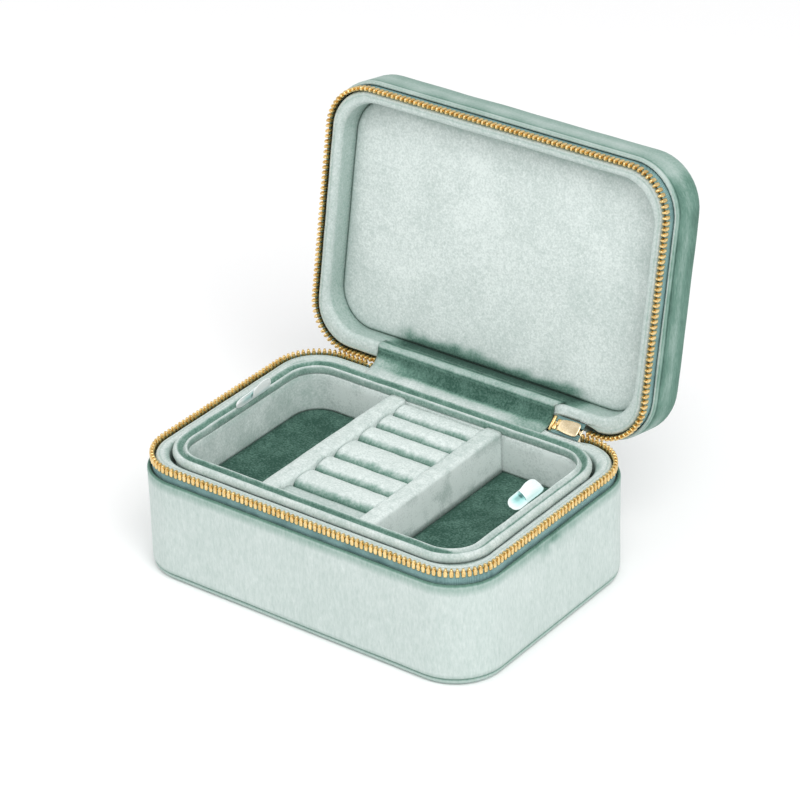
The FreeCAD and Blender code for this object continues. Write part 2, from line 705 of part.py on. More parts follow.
# slider: two plates joined by a post at the mouth, flanges around the chain, and a bail
SLIDER_LOW = "parting_height - slider_width / 2"
SLIDER_HIGH = "parting_height + slider_width / 2"
OUTER_FACE = "slider_channel / 2 + slider_plate"
slider = new_body("slider")
sketch = new_sketch(slider, "XY_Plane", SLIDER_LOW)
SLIDER_LEFT, SLIDER_RIGHT = "slider_centre - slider_length / 2", "slider_centre + slider_length / 2"
draw_rectangle(sketch, "body", SLIDER_LEFT, SLIDER_RIGHT, ROW_Y + " - ( %s )" % OUTER_FACE,
               ROW_Y + " + ( %s )" % OUTER_FACE)
pad(slider, sketch, "slider_width")
face_out = dim("slider_channel") / 2 + dim("slider_plate")
for side in (-1, 1):
    for y in (row_y - face_out, row_y + face_out):
        round_edges(slider, "slider_round", long_edge(y, PARTING + side * dim("slider_width") / 2))
channel = new_sketch(slider, "YZ_Plane", SLIDER_LEFT)
reach = "( slider_width / 2 - slider_flange )"
draw_rectangle(channel, "channel", ROW_Y + " - slider_channel / 2", ROW_Y + " + slider_channel / 2",
               "parting_height - " + reach, "parting_height + " + reach)
pocket(slider, channel, "slider_length")
slots = new_sketch(slider, "YZ_Plane", SLIDER_LEFT)
draw_rectangle(slots, "slots", ROW_Y + " - tape_slot / 2", ROW_Y + " + tape_slot / 2",
               SLIDER_LOW + " - 1", SLIDER_HIGH + " + 1")
pocket(slider, slots, "slider_length")
post = new_sketch(slider, "XY_Plane", "parting_height")
draw_rectangle(post, "post", SLIDER_RIGHT + " - slider_post_length", SLIDER_RIGHT,
               ROW_Y + " - ( %s )" % OUTER_FACE, ROW_Y + " + ( %s )" % OUTER_FACE)
pad(slider, post, "slider_post", midplane=True)
bail = new_sketch(slider, "XY_Plane", "parting_height")
draw_rectangle(bail, "bail", "slider_centre - bail_span / 2", "slider_centre + bail_span / 2",
               ROW_Y + " + slider_channel / 2 + 0.1", ROW_Y + " + %s + bail_rise" % OUTER_FACE)
draw_rectangle(bail, "eye", "slider_centre - bail_span / 2 + bail_bar", "slider_centre + bail_span / 2 - bail_bar",
               ROW_Y + " + slider_channel / 2 + 0.2", ROW_Y + " + %s + bail_rise - bail_bar" % OUTER_FACE)
pad(slider, bail, "bail_width", midplane=True)
keep(slider, "slider", AT_ZIP_END)

# pull: a flat tab whose eye goes round the bail; it hangs straight out from the chain
PULL_Y = ROW_Y + " + pull_pivot"
pull = new_body("pull_tab")
sketch = new_sketch(pull, "YZ_Plane", "slider_centre")
draw_rectangle(sketch, "eye", PULL_Y + " - pull_eye_end", PULL_Y + " + pull_shoulder + 1",
               "parting_height - pull_eye_width / 2", "parting_height + pull_eye_width / 2")
draw_rectangle(sketch, "window", PULL_Y + " + pull_window_start", PULL_Y + " + pull_window_end",
               "parting_height - pull_window_width / 2", "parting_height + pull_window_width / 2")
pad(pull, sketch, "pull_thickness", midplane=True)
sketch = new_sketch(pull, "YZ_Plane", "slider_centre")
draw_rectangle(sketch, "tab", PULL_Y + " + pull_shoulder", PULL_Y + " + pull_length",
               "parting_height - pull_width / 2", "parting_height + pull_width / 2")
pad(pull, sketch, "pull_thickness", midplane=True)
keep(pull, "pull_tab", AT_ZIP_END)

# ---------------------------------------------------------------- ribbon pulls of the tray

for side, name in ((-1, "left"), (1, "right")):
    ribbon = new_body("ribbon_" + name)
    sketch = new_sketch(ribbon, "YZ_Plane", "%d * ribbon_reach" % side)
    centre, half = "ribbon_centre_" + name, "ribbon_length_%s / 2" % name
    draw_rectangle(sketch, "flag", "%s - %s" % (centre, half), "%s + %s" % (centre, half),
                   "ribbon_root", "ribbon_root + ribbon_height")
    pad(ribbon, sketch, "ribbon_thickness", midplane=True)
    doc.recompute()
    top = dim("ribbon_root") + dim("ribbon_height")
    round_edges(ribbon, "ribbon_corner", lambda box: box.XLength > 0.1 and abs(box.ZMax - top) < 0.01
                and box.YLength < 0.01)
    lean = Rotation(Vector(0, 1, 0), -side * dim("ribbon_lean_" + name))
    root = Vector(side * dim("ribbon_reach"), 0, dim("ribbon_root"))
    keep(ribbon, "ribbon_" + name, Placement(Vector(0, 0, 0), lean, root))

# ---------------------------------------------------------------- checks and files

doc.recompute()
for item in doc.Objects:
    if "Invalid" in item.State or "Error" in item.State:
        raise RuntimeError("%s (%s) did not compute" % (item.Name, item.Label))
os.makedirs("parts", exist_ok=True)
for piece in subparts:
    if piece.Shape.isNull() or not piece.Shape.isValid() or not piece.Shape.Solids:
        raise RuntimeError("%s has no valid solid" % piece.Label)
    piece.Shape.exportStep("parts/%s.step" % piece.Label)
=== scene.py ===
import math

import bmesh
import bpy
from mathutils import Matrix, Vector, noise


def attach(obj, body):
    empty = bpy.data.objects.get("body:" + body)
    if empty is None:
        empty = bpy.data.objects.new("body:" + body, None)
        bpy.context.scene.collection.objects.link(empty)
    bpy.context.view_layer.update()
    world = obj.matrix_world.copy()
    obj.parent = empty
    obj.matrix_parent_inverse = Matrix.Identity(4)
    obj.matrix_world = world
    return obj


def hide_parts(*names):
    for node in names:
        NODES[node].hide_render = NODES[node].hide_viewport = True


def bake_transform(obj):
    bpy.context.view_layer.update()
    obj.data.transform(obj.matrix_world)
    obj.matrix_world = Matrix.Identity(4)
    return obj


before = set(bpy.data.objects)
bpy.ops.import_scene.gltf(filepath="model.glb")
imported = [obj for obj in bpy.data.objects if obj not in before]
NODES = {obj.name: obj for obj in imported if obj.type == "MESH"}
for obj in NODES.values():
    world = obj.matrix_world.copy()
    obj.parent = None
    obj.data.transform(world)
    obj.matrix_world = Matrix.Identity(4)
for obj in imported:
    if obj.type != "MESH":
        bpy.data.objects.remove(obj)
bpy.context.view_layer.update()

MM = 0.001
LENGTH, DEPTH, CORNER = 150.0, 105.0, 19.3
PARTING = 45.7
REAR_EXTRA = 1.6
HINGE = Vector((0, 51.4, 45.2))
OPEN = math.radians(-100.6)
ROW = 1.9  # inset of the middle of the zipper chain
TAPE_REVEAL = 5.1  # zipper tape that shows between the parting plane and the velvet
CHAIN_START, CHAIN_END = 51.0, -44.5  # where the open chain's ends lie along the rear, in x
TOOTH_PITCH = 2.0
SLIDER_X = 45.1
PULL_PIVOT = 2.5  # the pull's axis, behind the chain's middle
TRAY_INSET, TRAY_RADIUS = 7.9, 15.9
TRAY_FRONT, TRAY_BACK = -39.5, 37.9  # ends of the tray's inside
DIVIDER_X = 21.3
RING_HALF = 17.7  # half the width between the dividers
RIBBON_REACH, RIBBON_ROOT = 61.8, 46.4  # the seam that both ribbons turn about: its x and its height

# ------------------------------------------------------------------ frames of the moving halves


def about_hinge(angle):
    turn = Matrix.Rotation(angle, 4, "X")
    return Matrix.Translation(HINGE) @ turn @ Matrix.Translation(-HINGE)


TO_LID = about_hinge(OPEN)
TO_ZIP_END = about_hinge(OPEN / 2)
AT_REST = Matrix.Identity(4)

# ------------------------------------------------------------------ materials


def link(tree, a, b):
    tree.links.new(a, b)


def add(tree, kind, **inputs):
    node = tree.nodes.new(kind)
    for key, value in inputs.items():
        node.inputs[key.replace("_", " ")].default_value = value
    return node


def math_node(tree, op, a, b=None):
    node = tree.nodes.new("ShaderNodeMath")
    node.operation = op
    for i, value in enumerate((a, b)):
        if value is None:
            continue
        if hasattr(value, "links"):
            link(tree, value, node.inputs[i])
        else:
            node.inputs[i].default_value = value
    return node.outputs[0]


def noise_node(tree, coords, scale, detail=2.0, rough=0.5, stretch=(1, 1, 1)):
    mapping = add(tree, "ShaderNodeMapping")
    mapping.inputs["Scale"].default_value = stretch
    link(tree, coords, mapping.inputs["Vector"])
    node = add(tree, "ShaderNodeTexNoise", Scale=scale, Detail=detail, Roughness=rough)
    link(tree, mapping.outputs[0], node.inputs["Vector"])
    return node.outputs["Fac"]


def start_material(name):
    material = bpy.data.materials.new(name)
    material.use_nodes = True
    tree = material.node_tree
    tree.nodes.clear()
    out = tree.nodes.new("ShaderNodeOutputMaterial")
    shader = tree.nodes.new("ShaderNodeBsdfPrincipled")
    link(tree, shader.outputs[0], out.inputs["Surface"])
    coords = tree.nodes.new("ShaderNodeTexCoord").outputs["Object"]
    return material, tree, shader, coords


# velvet colours from pale lit nap to deep green, picked by painted shade and the fabric's own tone
VELVET_STOPS = (
    (0.00, (0.700, 0.765, 0.742)),
    (0.12, (0.572, 0.640, 0.617)),
    (0.24, (0.472, 0.553, 0.526)),
    (0.45, (0.314, 0.424, 0.382)),
    (0.70, (0.130, 0.243, 0.196)),
    (1.00, (0.034, 0.088, 0.066)),
)


def velvet(name, streak=(1, 1, 1), patches=0.2, clouds=0.2, cloud_scale=260.0, grain=0.3, sheen=0.25):
    """Short nap. The per-vertex attribute holds painted shade, by how far the nap lies away from the light,
    together with the fabric's own tone: 0 pale, 1 deep.
    """
    material, tree, shader, coords = start_material(name)
    pile = tree.nodes.new("ShaderNodeAttribute")
    pile.attribute_name = "pile"
    large = noise_node(tree, coords, 38.0, 2.0, 0.5)
    middle = noise_node(tree, coords, cloud_scale, 4.0, 0.62, streak)
    fine = noise_node(tree, coords, 1250.0, 3.0, 0.7, streak)
    total = pile.outputs["Fac"]
    for source, amount in ((large, patches), (middle, clouds), (fine, grain)):
        centred = math_node(tree, "SUBTRACT", source, 0.5)
        scaled = math_node(tree, "MULTIPLY", centred, amount)
        total = math_node(tree, "ADD", total, scaled)
    ramp = tree.nodes.new("ShaderNodeValToRGB")
    stops = ramp.color_ramp.elements
    while len(stops) < len(VELVET_STOPS):
        stops.new(0.5)
    for stop, (at, colour) in zip(stops, VELVET_STOPS):
        stop.position = at
        stop.color = (*colour, 1)
    link(tree, total, ramp.inputs[0])
    link(tree, ramp.outputs[0], shader.inputs["Base Color"])
    shader.inputs["Roughness"].default_value = 0.92
    shader.inputs["Specular IOR Level"].default_value = 0.15
    shader.inputs["Sheen Weight"].default_value = sheen
    shader.inputs["Sheen Roughness"].default_value = 0.35
    shader.inputs["Sheen Tint"].default_value = (0.86, 0.95, 0.92, 1)
    bump = add(tree, "ShaderNodeBump", Strength=0.35, Distance=0.0002)
    link(tree, fine, bump.inputs["Height"])
    link(tree, bump.outputs[0], shader.inputs["Normal"])
    return material


def woven(name, light, dark, scale):
    """Zipper tape: fine ribs both ways."""
    material, tree, shader, coords = start_material(name)
    ribs = []
    for axis in ("X", "Y", "Z"):
        wave = add(tree, "ShaderNodeTexWave", Scale=scale, Distortion=0.3)
        wave.bands_direction = axis
        link(tree, coords, wave.inputs["Vector"])
        ribs.append(wave.outputs["Fac"])
    weave = math_node(tree, "MULTIPLY", math_node(tree, "ADD", ribs[0], ribs[1]), ribs[2])
    cloud = noise_node(tree, coords, 160.0, 3.0)
    mixed = math_node(tree, "ADD", math_node(tree, "MULTIPLY", weave, 0.35), cloud)
    ramp = tree.nodes.new("ShaderNodeValToRGB")
    ramp.color_ramp.elements[0].position = 0.25
    ramp.color_ramp.elements[0].color = (*dark, 1)
    ramp.color_ramp.elements[1].position = 0.95
    ramp.color_ramp.elements[1].color = (*light, 1)
    link(tree, mixed, ramp.inputs[0])
    link(tree, ramp.outputs[0], shader.inputs["Base Color"])
    shader.inputs["Roughness"].default_value = 0.8
    bump = add(tree, "ShaderNodeBump", Strength=0.4, Distance=0.00012)
    link(tree, weave, bump.inputs["Height"])
    link(tree, bump.outputs[0], shader.inputs["Normal"])
    return material


def metal(name, colour, dark, roughness):
    material, tree, shader, coords = start_material(name)
    # random patches of darker and lighter brass; roughness follows the same noise
    mottle = noise_node(tree, coords, 420.0, 4.0, 0.6)
    ramp = tree.nodes.new("ShaderNodeValToRGB")
    ramp.color_ramp.elements[0].position = 0.30
    ramp.color_ramp.elements[0].color = (*dark, 1)
    ramp.color_ramp.elements[1].position = 0.62
    ramp.color_ramp.elements[1].color = (*colour, 1)
    link(tree, mottle, ramp.inputs[0])
    link(tree, ramp.outputs[0], shader.inputs["Base Color"])
    shader.inputs["Metallic"].default_value = 1.0
    low = math_node(tree, "MULTIPLY", mottle, 0.25)
    link(tree, math_node(tree, "ADD", low, roughness - 0.12), shader.inputs["Roughness"])
    bump = add(tree, "ShaderNodeBump", Strength=0.12, Distance=0.0001)
    link(tree, mottle, bump.inputs["Height"])
    link(tree, bump.outputs[0], shader.inputs["Normal"])
    return material


def satin(name):
    material, tree, shader, coords = start_material(name)
    pile = tree.nodes.new("ShaderNodeAttribute")
    pile.attribute_name = "pile"
    threads = noise_node(tree, coords, 2600.0, 2.0, 0.5, (1, 0.08, 1))
    centred = math_node(tree, "MULTIPLY", math_node(tree, "SUBTRACT", threads, 0.5), 0.25)
    # the ramp: white lit satin, aqua painted shade, dark teal shade in the slit; the per-vertex painted
    # shade values choose along it
    ramp = tree.nodes.new("ShaderNodeValToRGB")
    stops = ramp.color_ramp.elements
    stops.new(0.6)
    stops[0].color = (0.96, 0.98, 0.98, 1)
    stops[1].color = (0.38, 0.72, 0.70, 1)
    stops[2].color = (0.05, 0.16, 0.15, 1)
    link(tree, math_node(tree, "ADD", pile.outputs["Fac"], centred), ramp.inputs[0])
    link(tree, ramp.outputs[0], shader.inputs["Base Color"])
    shader.inputs["Roughness"].default_value = 0.38
    shader.inputs["Anisotropic"].default_value = 0.6
    shader.inputs["Sheen Weight"].default_value = 0.5
    bump = add(tree, "ShaderNodeBump", Strength=0.15, Distance=0.0001)
    link(tree, threads, bump.inputs["Height"])
    link(tree, bump.outputs[0], shader.inputs["Normal"])
    return material


def board(name, light, dark):
    """Pressed fibre board or foam, hidden inside the walls."""
    material, tree, shader, coords = start_material(name)
    fibres = noise_node(tree, coords, 900.0, 5.0, 0.65, (1, 1, 0.4))
    ramp = tree.nodes.new("ShaderNodeValToRGB")
    ramp.color_ramp.elements[0].color = (*dark, 1)
    ramp.color_ramp.elements[1].color = (*light, 1)
    link(tree, fibres, ramp.inputs[0])
    link(tree, ramp.outputs[0], shader.inputs["Base Color"])
    shader.inputs["Roughness"].default_value = 0.9
    return material


SHELL = velvet("shell_velvet", streak=(1, 1, 0.3), patches=0.10, clouds=0.10, grain=0.36, sheen=0.15)
LINING = velvet("lining_velvet", patches=0.12, clouds=0.24, cloud_scale=420.0, grain=0.62, sheen=0.15)
FLOOR = velvet("floor_velvet", patches=0.10, clouds=0.34, cloud_scale=420.0, grain=0.9, sheen=0.05)
TAPE = woven("zipper_tape", (0.24, 0.40, 0.39), (0.08, 0.17, 0.17), 620.0)
BRASS = metal("brass", (0.92, 0.70, 0.34), (0.62, 0.40, 0.13), 0.26)
PLATE = metal("slider_brass", (0.90, 0.76, 0.52), (0.72, 0.56, 0.32), 0.24)
SATIN = satin("satin")
BOARD = board("board", (0.58, 0.56, 0.51), (0.36, 0.34, 0.30))
FOAM = board("foam", (0.86, 0.84, 0.78), (0.66, 0.64, 0.58))

# ------------------------------------------------------------------ mesh helpers


def piece(name, rows, material, at=AT_REST, wrap_rows=False, wrap_cols=True, caps=(), lump=0.0,
          lump_size=14.0, pile=None, move=None):
    """A mesh from rows of points in mm. caps lists the rows filled with one face; move shifts points."""
    vertices, faces = [], []
    count = len(rows[0])
    for row in rows:
        vertices.extend(move(Vector(p)) if move else Vector(p) for p in row)
    last = len(rows) if wrap_rows else len(rows) - 1
    for j in range(last):
        k = (j + 1) % len(rows)
        for i in range(count if wrap_cols else count - 1):
            n = (i + 1) % count
            faces.append((j * count + i, j * count + n, k * count + n, k * count + i))
    for row in caps:
        ring = [row % len(rows) * count + i for i in range(count)]
        faces.append(tuple(ring) if row % len(rows) else tuple(reversed(ring)))
    mesh = bpy.data.meshes.new(name)
    mesh.from_pydata([tuple(v) for v in vertices], [], faces)
    mesh.update()
    return finish_mesh(name, mesh, material, at, lump, lump_size, pile)


def finish_mesh(name, mesh, material, at=AT_REST, lump=0.0, lump_size=14.0, pile=None):
    """Makes normals point out, adds a soft unevenness, paints the per-vertex shade and tone values and
    places the mesh.
    """
    shape = bmesh.new()
    shape.from_mesh(mesh)
    bmesh.ops.recalc_face_normals(shape, faces=shape.faces)
    shape.to_mesh(mesh)
    shape.free()
    mesh.update()
    if lump:
        normals = [v.normal.copy() for v in mesh.vertices]
        for v, normal in zip(mesh.vertices, normals):
            v.co += normal * lump * noise.noise(v.co / lump_size)
    if pile is not None:
        values = mesh.attributes.new("pile", "FLOAT", "POINT")
        for i, v in enumerate(mesh.vertices):
            values.data[i].value = pile(v.co, v.normal)
    for polygon in mesh.polygons:
        polygon.use_smooth = True
    mesh.transform(Matrix.Scale(MM, 4) @ at)
    mesh.materials.append(material)
    obj = bpy.data.objects.new(name, mesh)
    bpy.context.scene.collection.objects.link(obj)
    return obj


def loop(half, front, back, radius, along=30, across=22, bend=12):
    """Points of a rounded rectangle, always the same number, from the middle of the rear."""
    radius = max(radius, 0.02)
    points = []
    corners = ((half, back, 90, 0), (half, front, 0, -90), (-half, front, -90, -180), (-half, back, 180, 90))
    centres = []
    for x, y, a, b in corners:
        cy = back - radius if y == back else front + radius
        centres.append((x - math.copysign(radius, x), cy, a, b))
    for number, (cx, cy, a, b) in enumerate(centres):
        for k in range(bend + 1):
            angle = math.radians(a + (b - a) * k / bend)
            points.append((cx + radius * math.cos(angle), cy + radius * math.sin(angle)))
        nx, ny, na, _ = centres[(number + 1) % 4]
        end = (nx + radius * math.cos(math.radians(na)), ny + radius * math.sin(math.radians(na)))
        start = points[-1]
        steps = across if number % 2 == 0 else along
        for k in range(1, steps):
            t = k / steps
            points.append((start[0] + (end[0] - start[0]) * t, start[1] + (end[1] - start[1]) * t))
    return points


def case_loop(inset, rear=0.0):
    """The case's outline drawn inwards; loops that also step in at the rear have wider corners."""
    corner = CORNER - inset + 2.7 * rear / REAR_EXTRA
    return loop(LENGTH / 2 - inset, inset - DEPTH / 2, DEPTH / 2 - inset - rear, corner)


def tray_loop(depth):
    inset = TRAY_INSET + depth
    return loop(LENGTH / 2 - inset, inset - DEPTH / 2, DEPTH / 2 - inset - REAR_EXTRA, TRAY_RADIUS - depth)


def at_height(outline, z):
    return [(x, y, z) for x, y in outline]


def flip(profile):
    """A profile of the base half, as the lid half has it: mirrored in the parting plane."""
    return [(inset, 2 * PARTING - z, *rest) for inset, z, *rest in profile]


def swept(name, profile, material, at=AT_REST, closed=True, caps=(), **more):
    """A profile of (inset, z, rear extra) points carried all the way around the case."""
    rows = [at_height(case_loop(p[0], p[2] if len(p) > 2 else 0.0), p[1]) for p in profile]
    return piece(name, rows, material, at, wrap_rows=closed, caps=caps, **more)


def swept_tray(name, profile, material, closed=True, caps=(), **more):
    rows = [at_height(tray_loop(depth), z) for depth, z in profile]
    return piece(name, rows, material, wrap_rows=closed, caps=caps, **more)


def near(value, centre, width):
    """1 at the centre, falling off as a bell of that width."""
    return math.exp(-(((value - centre) / width) ** 2))


def ease(value, low, high):
    t = min(1.0, max(0.0, (value - low) / (high - low)))
    return t * t * (3 - 2 * t)


def place(obj, body, slot, *nodes):
    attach(obj, body)
    if nodes:
        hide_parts(*nodes)
    return obj


def inset_of(co):
    """How far in from the case's outer face a point is."""
    dx = LENGTH / 2 - abs(co.x)
    dy = DEPTH / 2 - abs(co.y)
    if dx < CORNER and dy < CORNER:
        return CORNER - math.hypot(CORNER - dx, CORNER - dy)
    return min(dx, dy)


# ------------------------------------------------------------------ base half

COVER_TOP = PARTING - TAPE_REVEAL


def cover_pile(co, normal):
    """Pale wall with painted shade: the rolled edge under the tape, the fold over the foot and the wall's
    inner face are darkened; a darker patch lies on the right wall below its top.
    """
    inward = inset_of(co)
    dark = 0.18
    dark += 0.62 * ease(co.z, COVER_TOP - 1.3, COVER_TOP - 0.1)
    dark += 0.30 * near(co.z, COVER_TOP - 1.9, 0.9)
    dark += 0.28 * (1 - ease(co.z, 2.6, 4.2))
    right_wall_patch = near(co.y, -4, 15) * near(co.z, COVER_TOP - 3.0, 3.4) * (1 if co.x > 60 else 0)
    return dark + 0.35 * right_wall_patch * (0.6 + noise.noise(co / 5)) + (0.2 if inward > 1.0 else 0)


COVER = [
    (1.5, 2.9), (1.1, 2.62), (0.62, 2.66), (0.25, 2.95), (0.06, 3.5), (0.0, 4.6), (0.0, 8), (0.0, 14),
    (0.0, 20), (0.0, 26), (0.0, 32), (0.0, 36), (0.0, 38.2), (-0.06, 39.0), (0.02, 39.7), (0.26, 40.25),
    (0.66, 40.58), (1.08, 40.5), (1.38, 40.1), (1.5, 39.4), (1.5, 34), (1.5, 15),
]
wall = swept("base_velvet_wall", COVER, SHELL, lump=0.16, lump_size=17, pile=cover_pile)
place(wall, "base", "shell_velvet", "base_cover")

FOOT = [
    (1.4, 2.62), (0.8, 2.58), (0.46, 2.34), (0.42, 1.9), (0.62, 1.2), (1.1, 0.6), (1.8, 0.2), (2.8, 0.02),
    (8, 0.0), (20, 0.0), (40, 0.0),
]
# painted shade: darker along the seam crease and on the downward faces
foot = swept("bottom_velvet_panel", FOOT, SHELL, closed=False, caps=(0, -1), lump=0.0,
             pile=lambda co, n: 0.30 + 0.30 * near(co.z, 2.5, 0.35) + 0.10 * ease(-n.z, 0.2, 0.9))
place(foot, "base", "shell_velvet", "bottom_panel")


def lip_pile(co, normal):
    """The lip is pale on top, with a faint seam along it; where it turns down at both edges it gets painted
    shade.
    """
    inward = inset_of(co)
    dark = 0.15 + 0.22 * near(inward, 4.72, 0.16)
    dark += 0.36 * (1 - ease(inward, 3.1, 3.7))
    dark += 0.26 * ease(inward - (REAR_EXTRA if co.y > 40 else 0), 6.6, 7.0)
    return dark


R = REAR_EXTRA
LINER = [
    (4.3, 4.7, 0), (4.3, 20, 0), (4.25, 39.8, 0), (3.5, 40.5, 0), (3.2, 41.4, 0), (3.12, 42.6, 0),
    (3.16, 43.7, 0), (3.45, 44.4, 0), (3.95, 44.75, 0), (4.55, 44.82, 0.15), (4.72, 44.70, 0.2),
    (4.88, 44.8, 0.3), (5.4, 44.75, 0.7), (6.0, 44.6, R), (6.6, 44.3, R), (6.98, 43.7, R), (7.1, 43.0, R),
    (7.02, 42.0, R), (7.0, 38, R), (7.0, 30, R), (7.0, 20, R), (7.0, 10, R), (7.0, 4.7, R),
]


def slider_notch(co):
    """The lip is pressed in where the slider stands on the closed end of the zipper."""
    if co.y > 44 and inset_of(co) < 5.1 and abs(co.z - PARTING) < 6.5:
        co.y -= 1.75 * ease(co.x, 35.5, 38.5) * (1 - ease(co.x, 50.6, 53.5))
    return co


liner = swept("base_velvet_lip", LINER, LINING, lump=0.10, lump_size=9, pile=lip_pile, move=slider_notch)
place(liner, "base", "lining_velvet", "base_liner")

COLLAR = [
    (7.15, 6.1, R), (7.12, 16, R), (7.15, 25.6, R), (7.5, 26.15, R), (8.1, 26.28, R), (8.7, 26.15, R),
    (9.05, 25.6, R), (9.1, 20, R), (9.1, 12, R), (9.05, 6.1, R),
]
# painted shade: darker low in the base, below 8 mm
collar = swept("tray_velvet_collar", COLLAR, LINING, lump=0.04, pile=lambda co, n: 0.30 + 0.25 * (co.z < 8))
place(collar, "base", "lining_velvet", "tray_collar")

PAD = [
    (7.3, 4.62, R), (7.25, 5.4, R), (7.6, 5.85, R), (8.5, 5.95, R), (14, 5.96, R), (24, 5.96, R),
    (34, 5.96, R), (43, 5.96, R),
]
floor_pad = swept("base_velvet_floor", PAD, FLOOR, closed=False, caps=(0, -1), lump=0.10,
                  pile=lambda co, n: 0.66)
place(floor_pad, "base", "floor_velvet", "base_floor_pad")

# ------------------------------------------------------------------ zipper


def chain_legs():
    x, y, bend = LENGTH / 2 - ROW, DEPTH / 2 - ROW, CORNER - ROW
    legs = [
        (x - bend - CHAIN_START, Vector((CHAIN_START, y, 0)), Vector((1, 0, 0))),
        (2 * (y - bend), Vector((x, y - bend, 0)), Vector((0, -1, 0))),
        (2 * (x - bend), Vector((x - bend, -y, 0)), Vector((-1, 0, 0))),
        (2 * (y - bend), Vector((-x, bend - y, 0)), Vector((0, 1, 0))),
        (x - bend + CHAIN_END, Vector((bend - x, y, 0)), Vector((1, 0, 0))),
    ]
    centres = [Vector((x - bend, y - bend, 0)), Vector((x - bend, bend - y, 0)),
               Vector((bend - x, bend - y, 0)), Vector((bend - x, y - bend, 0))]
    return legs, centres, bend


LEGS, CENTRES, BEND = chain_legs()
CHAIN = sum(leg[0] for leg in LEGS) + 2 * math.pi * BEND


def chain_at(s):
    """Point and outward normal at a distance along the chain; it runs on straight past its ends."""
    for number, (length, start, along) in enumerate(LEGS):
        out = Vector((-along.y, along.x, 0))
        if s <= length or number == 4:
            return start + along * s, out
        s -= length
        if s <= BEND * math.pi / 2:
            out = Matrix.Rotation(-s / BEND, 3, "Z") @ out
            return CENTRES[number] + out * BEND, out
        s -= BEND * math.pi / 2


TOOTH = [
    # z from the parting plane, half width along the tape, half width across it
    (-2.62, 0.58, 0.58), (-2.52, 0.71, 0.76), (-2.25, 0.77, 0.84), (-1.05, 0.77, 0.84), (-0.60, 0.70, 0.86),
    (-0.30, 0.53, 0.84), (0.00, 0.47, 0.78), (0.25, 0.43, 0.70), (0.42, 0.37, 0.58), (0.50, 0.20, 0.34),
]
SIDES = 12


def tooth_rows(side, reach=1.0):
    rows = []
    for z, along, across in TOOTH:
        z = z if z > -0.5 else -0.5 + (z + 0.5) * reach
        row = []
        for k in range(SIDES):
            a = 2 * math.pi * (k + 0.5) / SIDES
            c, s = math.cos(a), math.sin(a)
            row.append(Vector((math.copysign(abs(c) ** 0.55, c) * along,
                               math.copysign(abs(s) ** 0.55, s) * across, -side * z)))
        rows.append(row)
    return rows


def teeth(name, side, frames, at, body, node, reach=1.0):
    """A row of cast teeth, each turned to its place on the tape."""
    pattern = tooth_rows(side, reach)
    vertices, faces = [], []
    for point, out in frames:
        first = len(vertices)
        turn = Matrix.Rotation(math.atan2(out.y, out.x) - math.pi / 2, 3, "Z")
        for row in pattern:
            vertices.extend(turn @ p + point + Vector((0, 0, PARTING)) for p in row)
        for j in range(len(pattern) - 1):
            for k in range(SIDES):
                n = (k + 1) % SIDES
                faces.append((first + j * SIDES + k, first + j * SIDES + n,
                              first + (j + 1) * SIDES + n, first + (j + 1) * SIDES + k))
        faces.append(tuple(first + k for k in reversed(range(SIDES))))
        faces.append(tuple(first + (len(pattern) - 1) * SIDES + k for k in range(SIDES)))
    mesh = bpy.data.meshes.new(name)
    mesh.from_pydata([tuple(v) for v in vertices], [], faces)
    obj = finish_mesh(name, mesh, BRASS, at)
    return place(obj, body, "brass", node)


BASE, LID = -1, 1
for name, side, first, at in (("base", BASE, 0.0, AT_REST), ("lid", LID, TOOTH_PITCH / 2, TO_LID)):
    frames = [chain_at(first + TOOTH_PITCH * i) for i in range(int((CHAIN - first) / TOOTH_PITCH) + 1)]
    teeth(name + "_teeth_row", side, frames, at, name, name + "_teeth")


def tape(name, side, at, body, node):
    """One tape: woven, with a thick cord edge inside the teeth, tucked under the velvet."""
    profile = [(-0.24, 1.25), (0.0, 1.15), (0.24, 1.25), (0.28, 1.6), (0.16, 2.3), (0.15, 4.0), (0.15, 6.0),
               (0.15, 11.5), (-0.15, 11.5), (-0.15, 6.0), (-0.15, 4.0), (-0.16, 2.3), (-0.28, 1.6)]
    steps = 230
    rows = []
    for across, drop in profile:
        row = []
        for k in range(steps + 1):
            point, out = chain_at(-0.5 + (CHAIN + 2.5) * k / steps)
            row.append(point + out * across + Vector((0, 0, PARTING + side * drop)))
        rows.append(row)
    obj = piece(name, rows, TAPE, at, wrap_rows=True, wrap_cols=False)
    return place(obj, body, "zipper_tape", node)


tape("base_woven_tape", BASE, AT_REST, "base", "base_tape")
tape("lid_woven_tape", LID, TO_LID, "lid", "lid_tape")


def rounded_block(name, low, high, radius, material, at, steps=3):
    """A block with rounded edges, from stacked rounded outlines."""
    (x0, y0, z0), (x1, y1, z1) = low, high
    cx, cy = (x0 + x1) / 2, (y0 + y1) / 2
    rows = []
    for k in range(-steps, steps + 1):
        t = k / steps
        angle = abs(t) * math.pi / 2
        shrink = radius * (1 - math.cos(angle))
        z = (z0 + radius - radius * math.sin(angle)) if t < 0 else (z1 - radius + radius * math.sin(angle))
        outline = loop((x1 - x0) / 2 - shrink, -(y1 - y0) / 2 + shrink, (y1 - y0) / 2 - shrink,
                       max(radius - shrink * 0.6, 0.05), 3, 3, 4)
        rows.append([(cx + x, cy + y, z) for x, y in outline])
    return piece(name, rows, material, at, caps=(0, -1))


for side, at, body, node in ((BASE, AT_REST, "base", "base_end_stop"), (LID, TO_LID, "lid", "lid_end_stop")):
    low, high = sorted((PARTING + side * 0.3, PARTING + side * 3.2))
    stop = rounded_block(node + "_staple", (-44.0, 49.7, low), (-42.8, 51.5, high), 0.35, BRASS, at)
    place(stop, body, "brass", node)

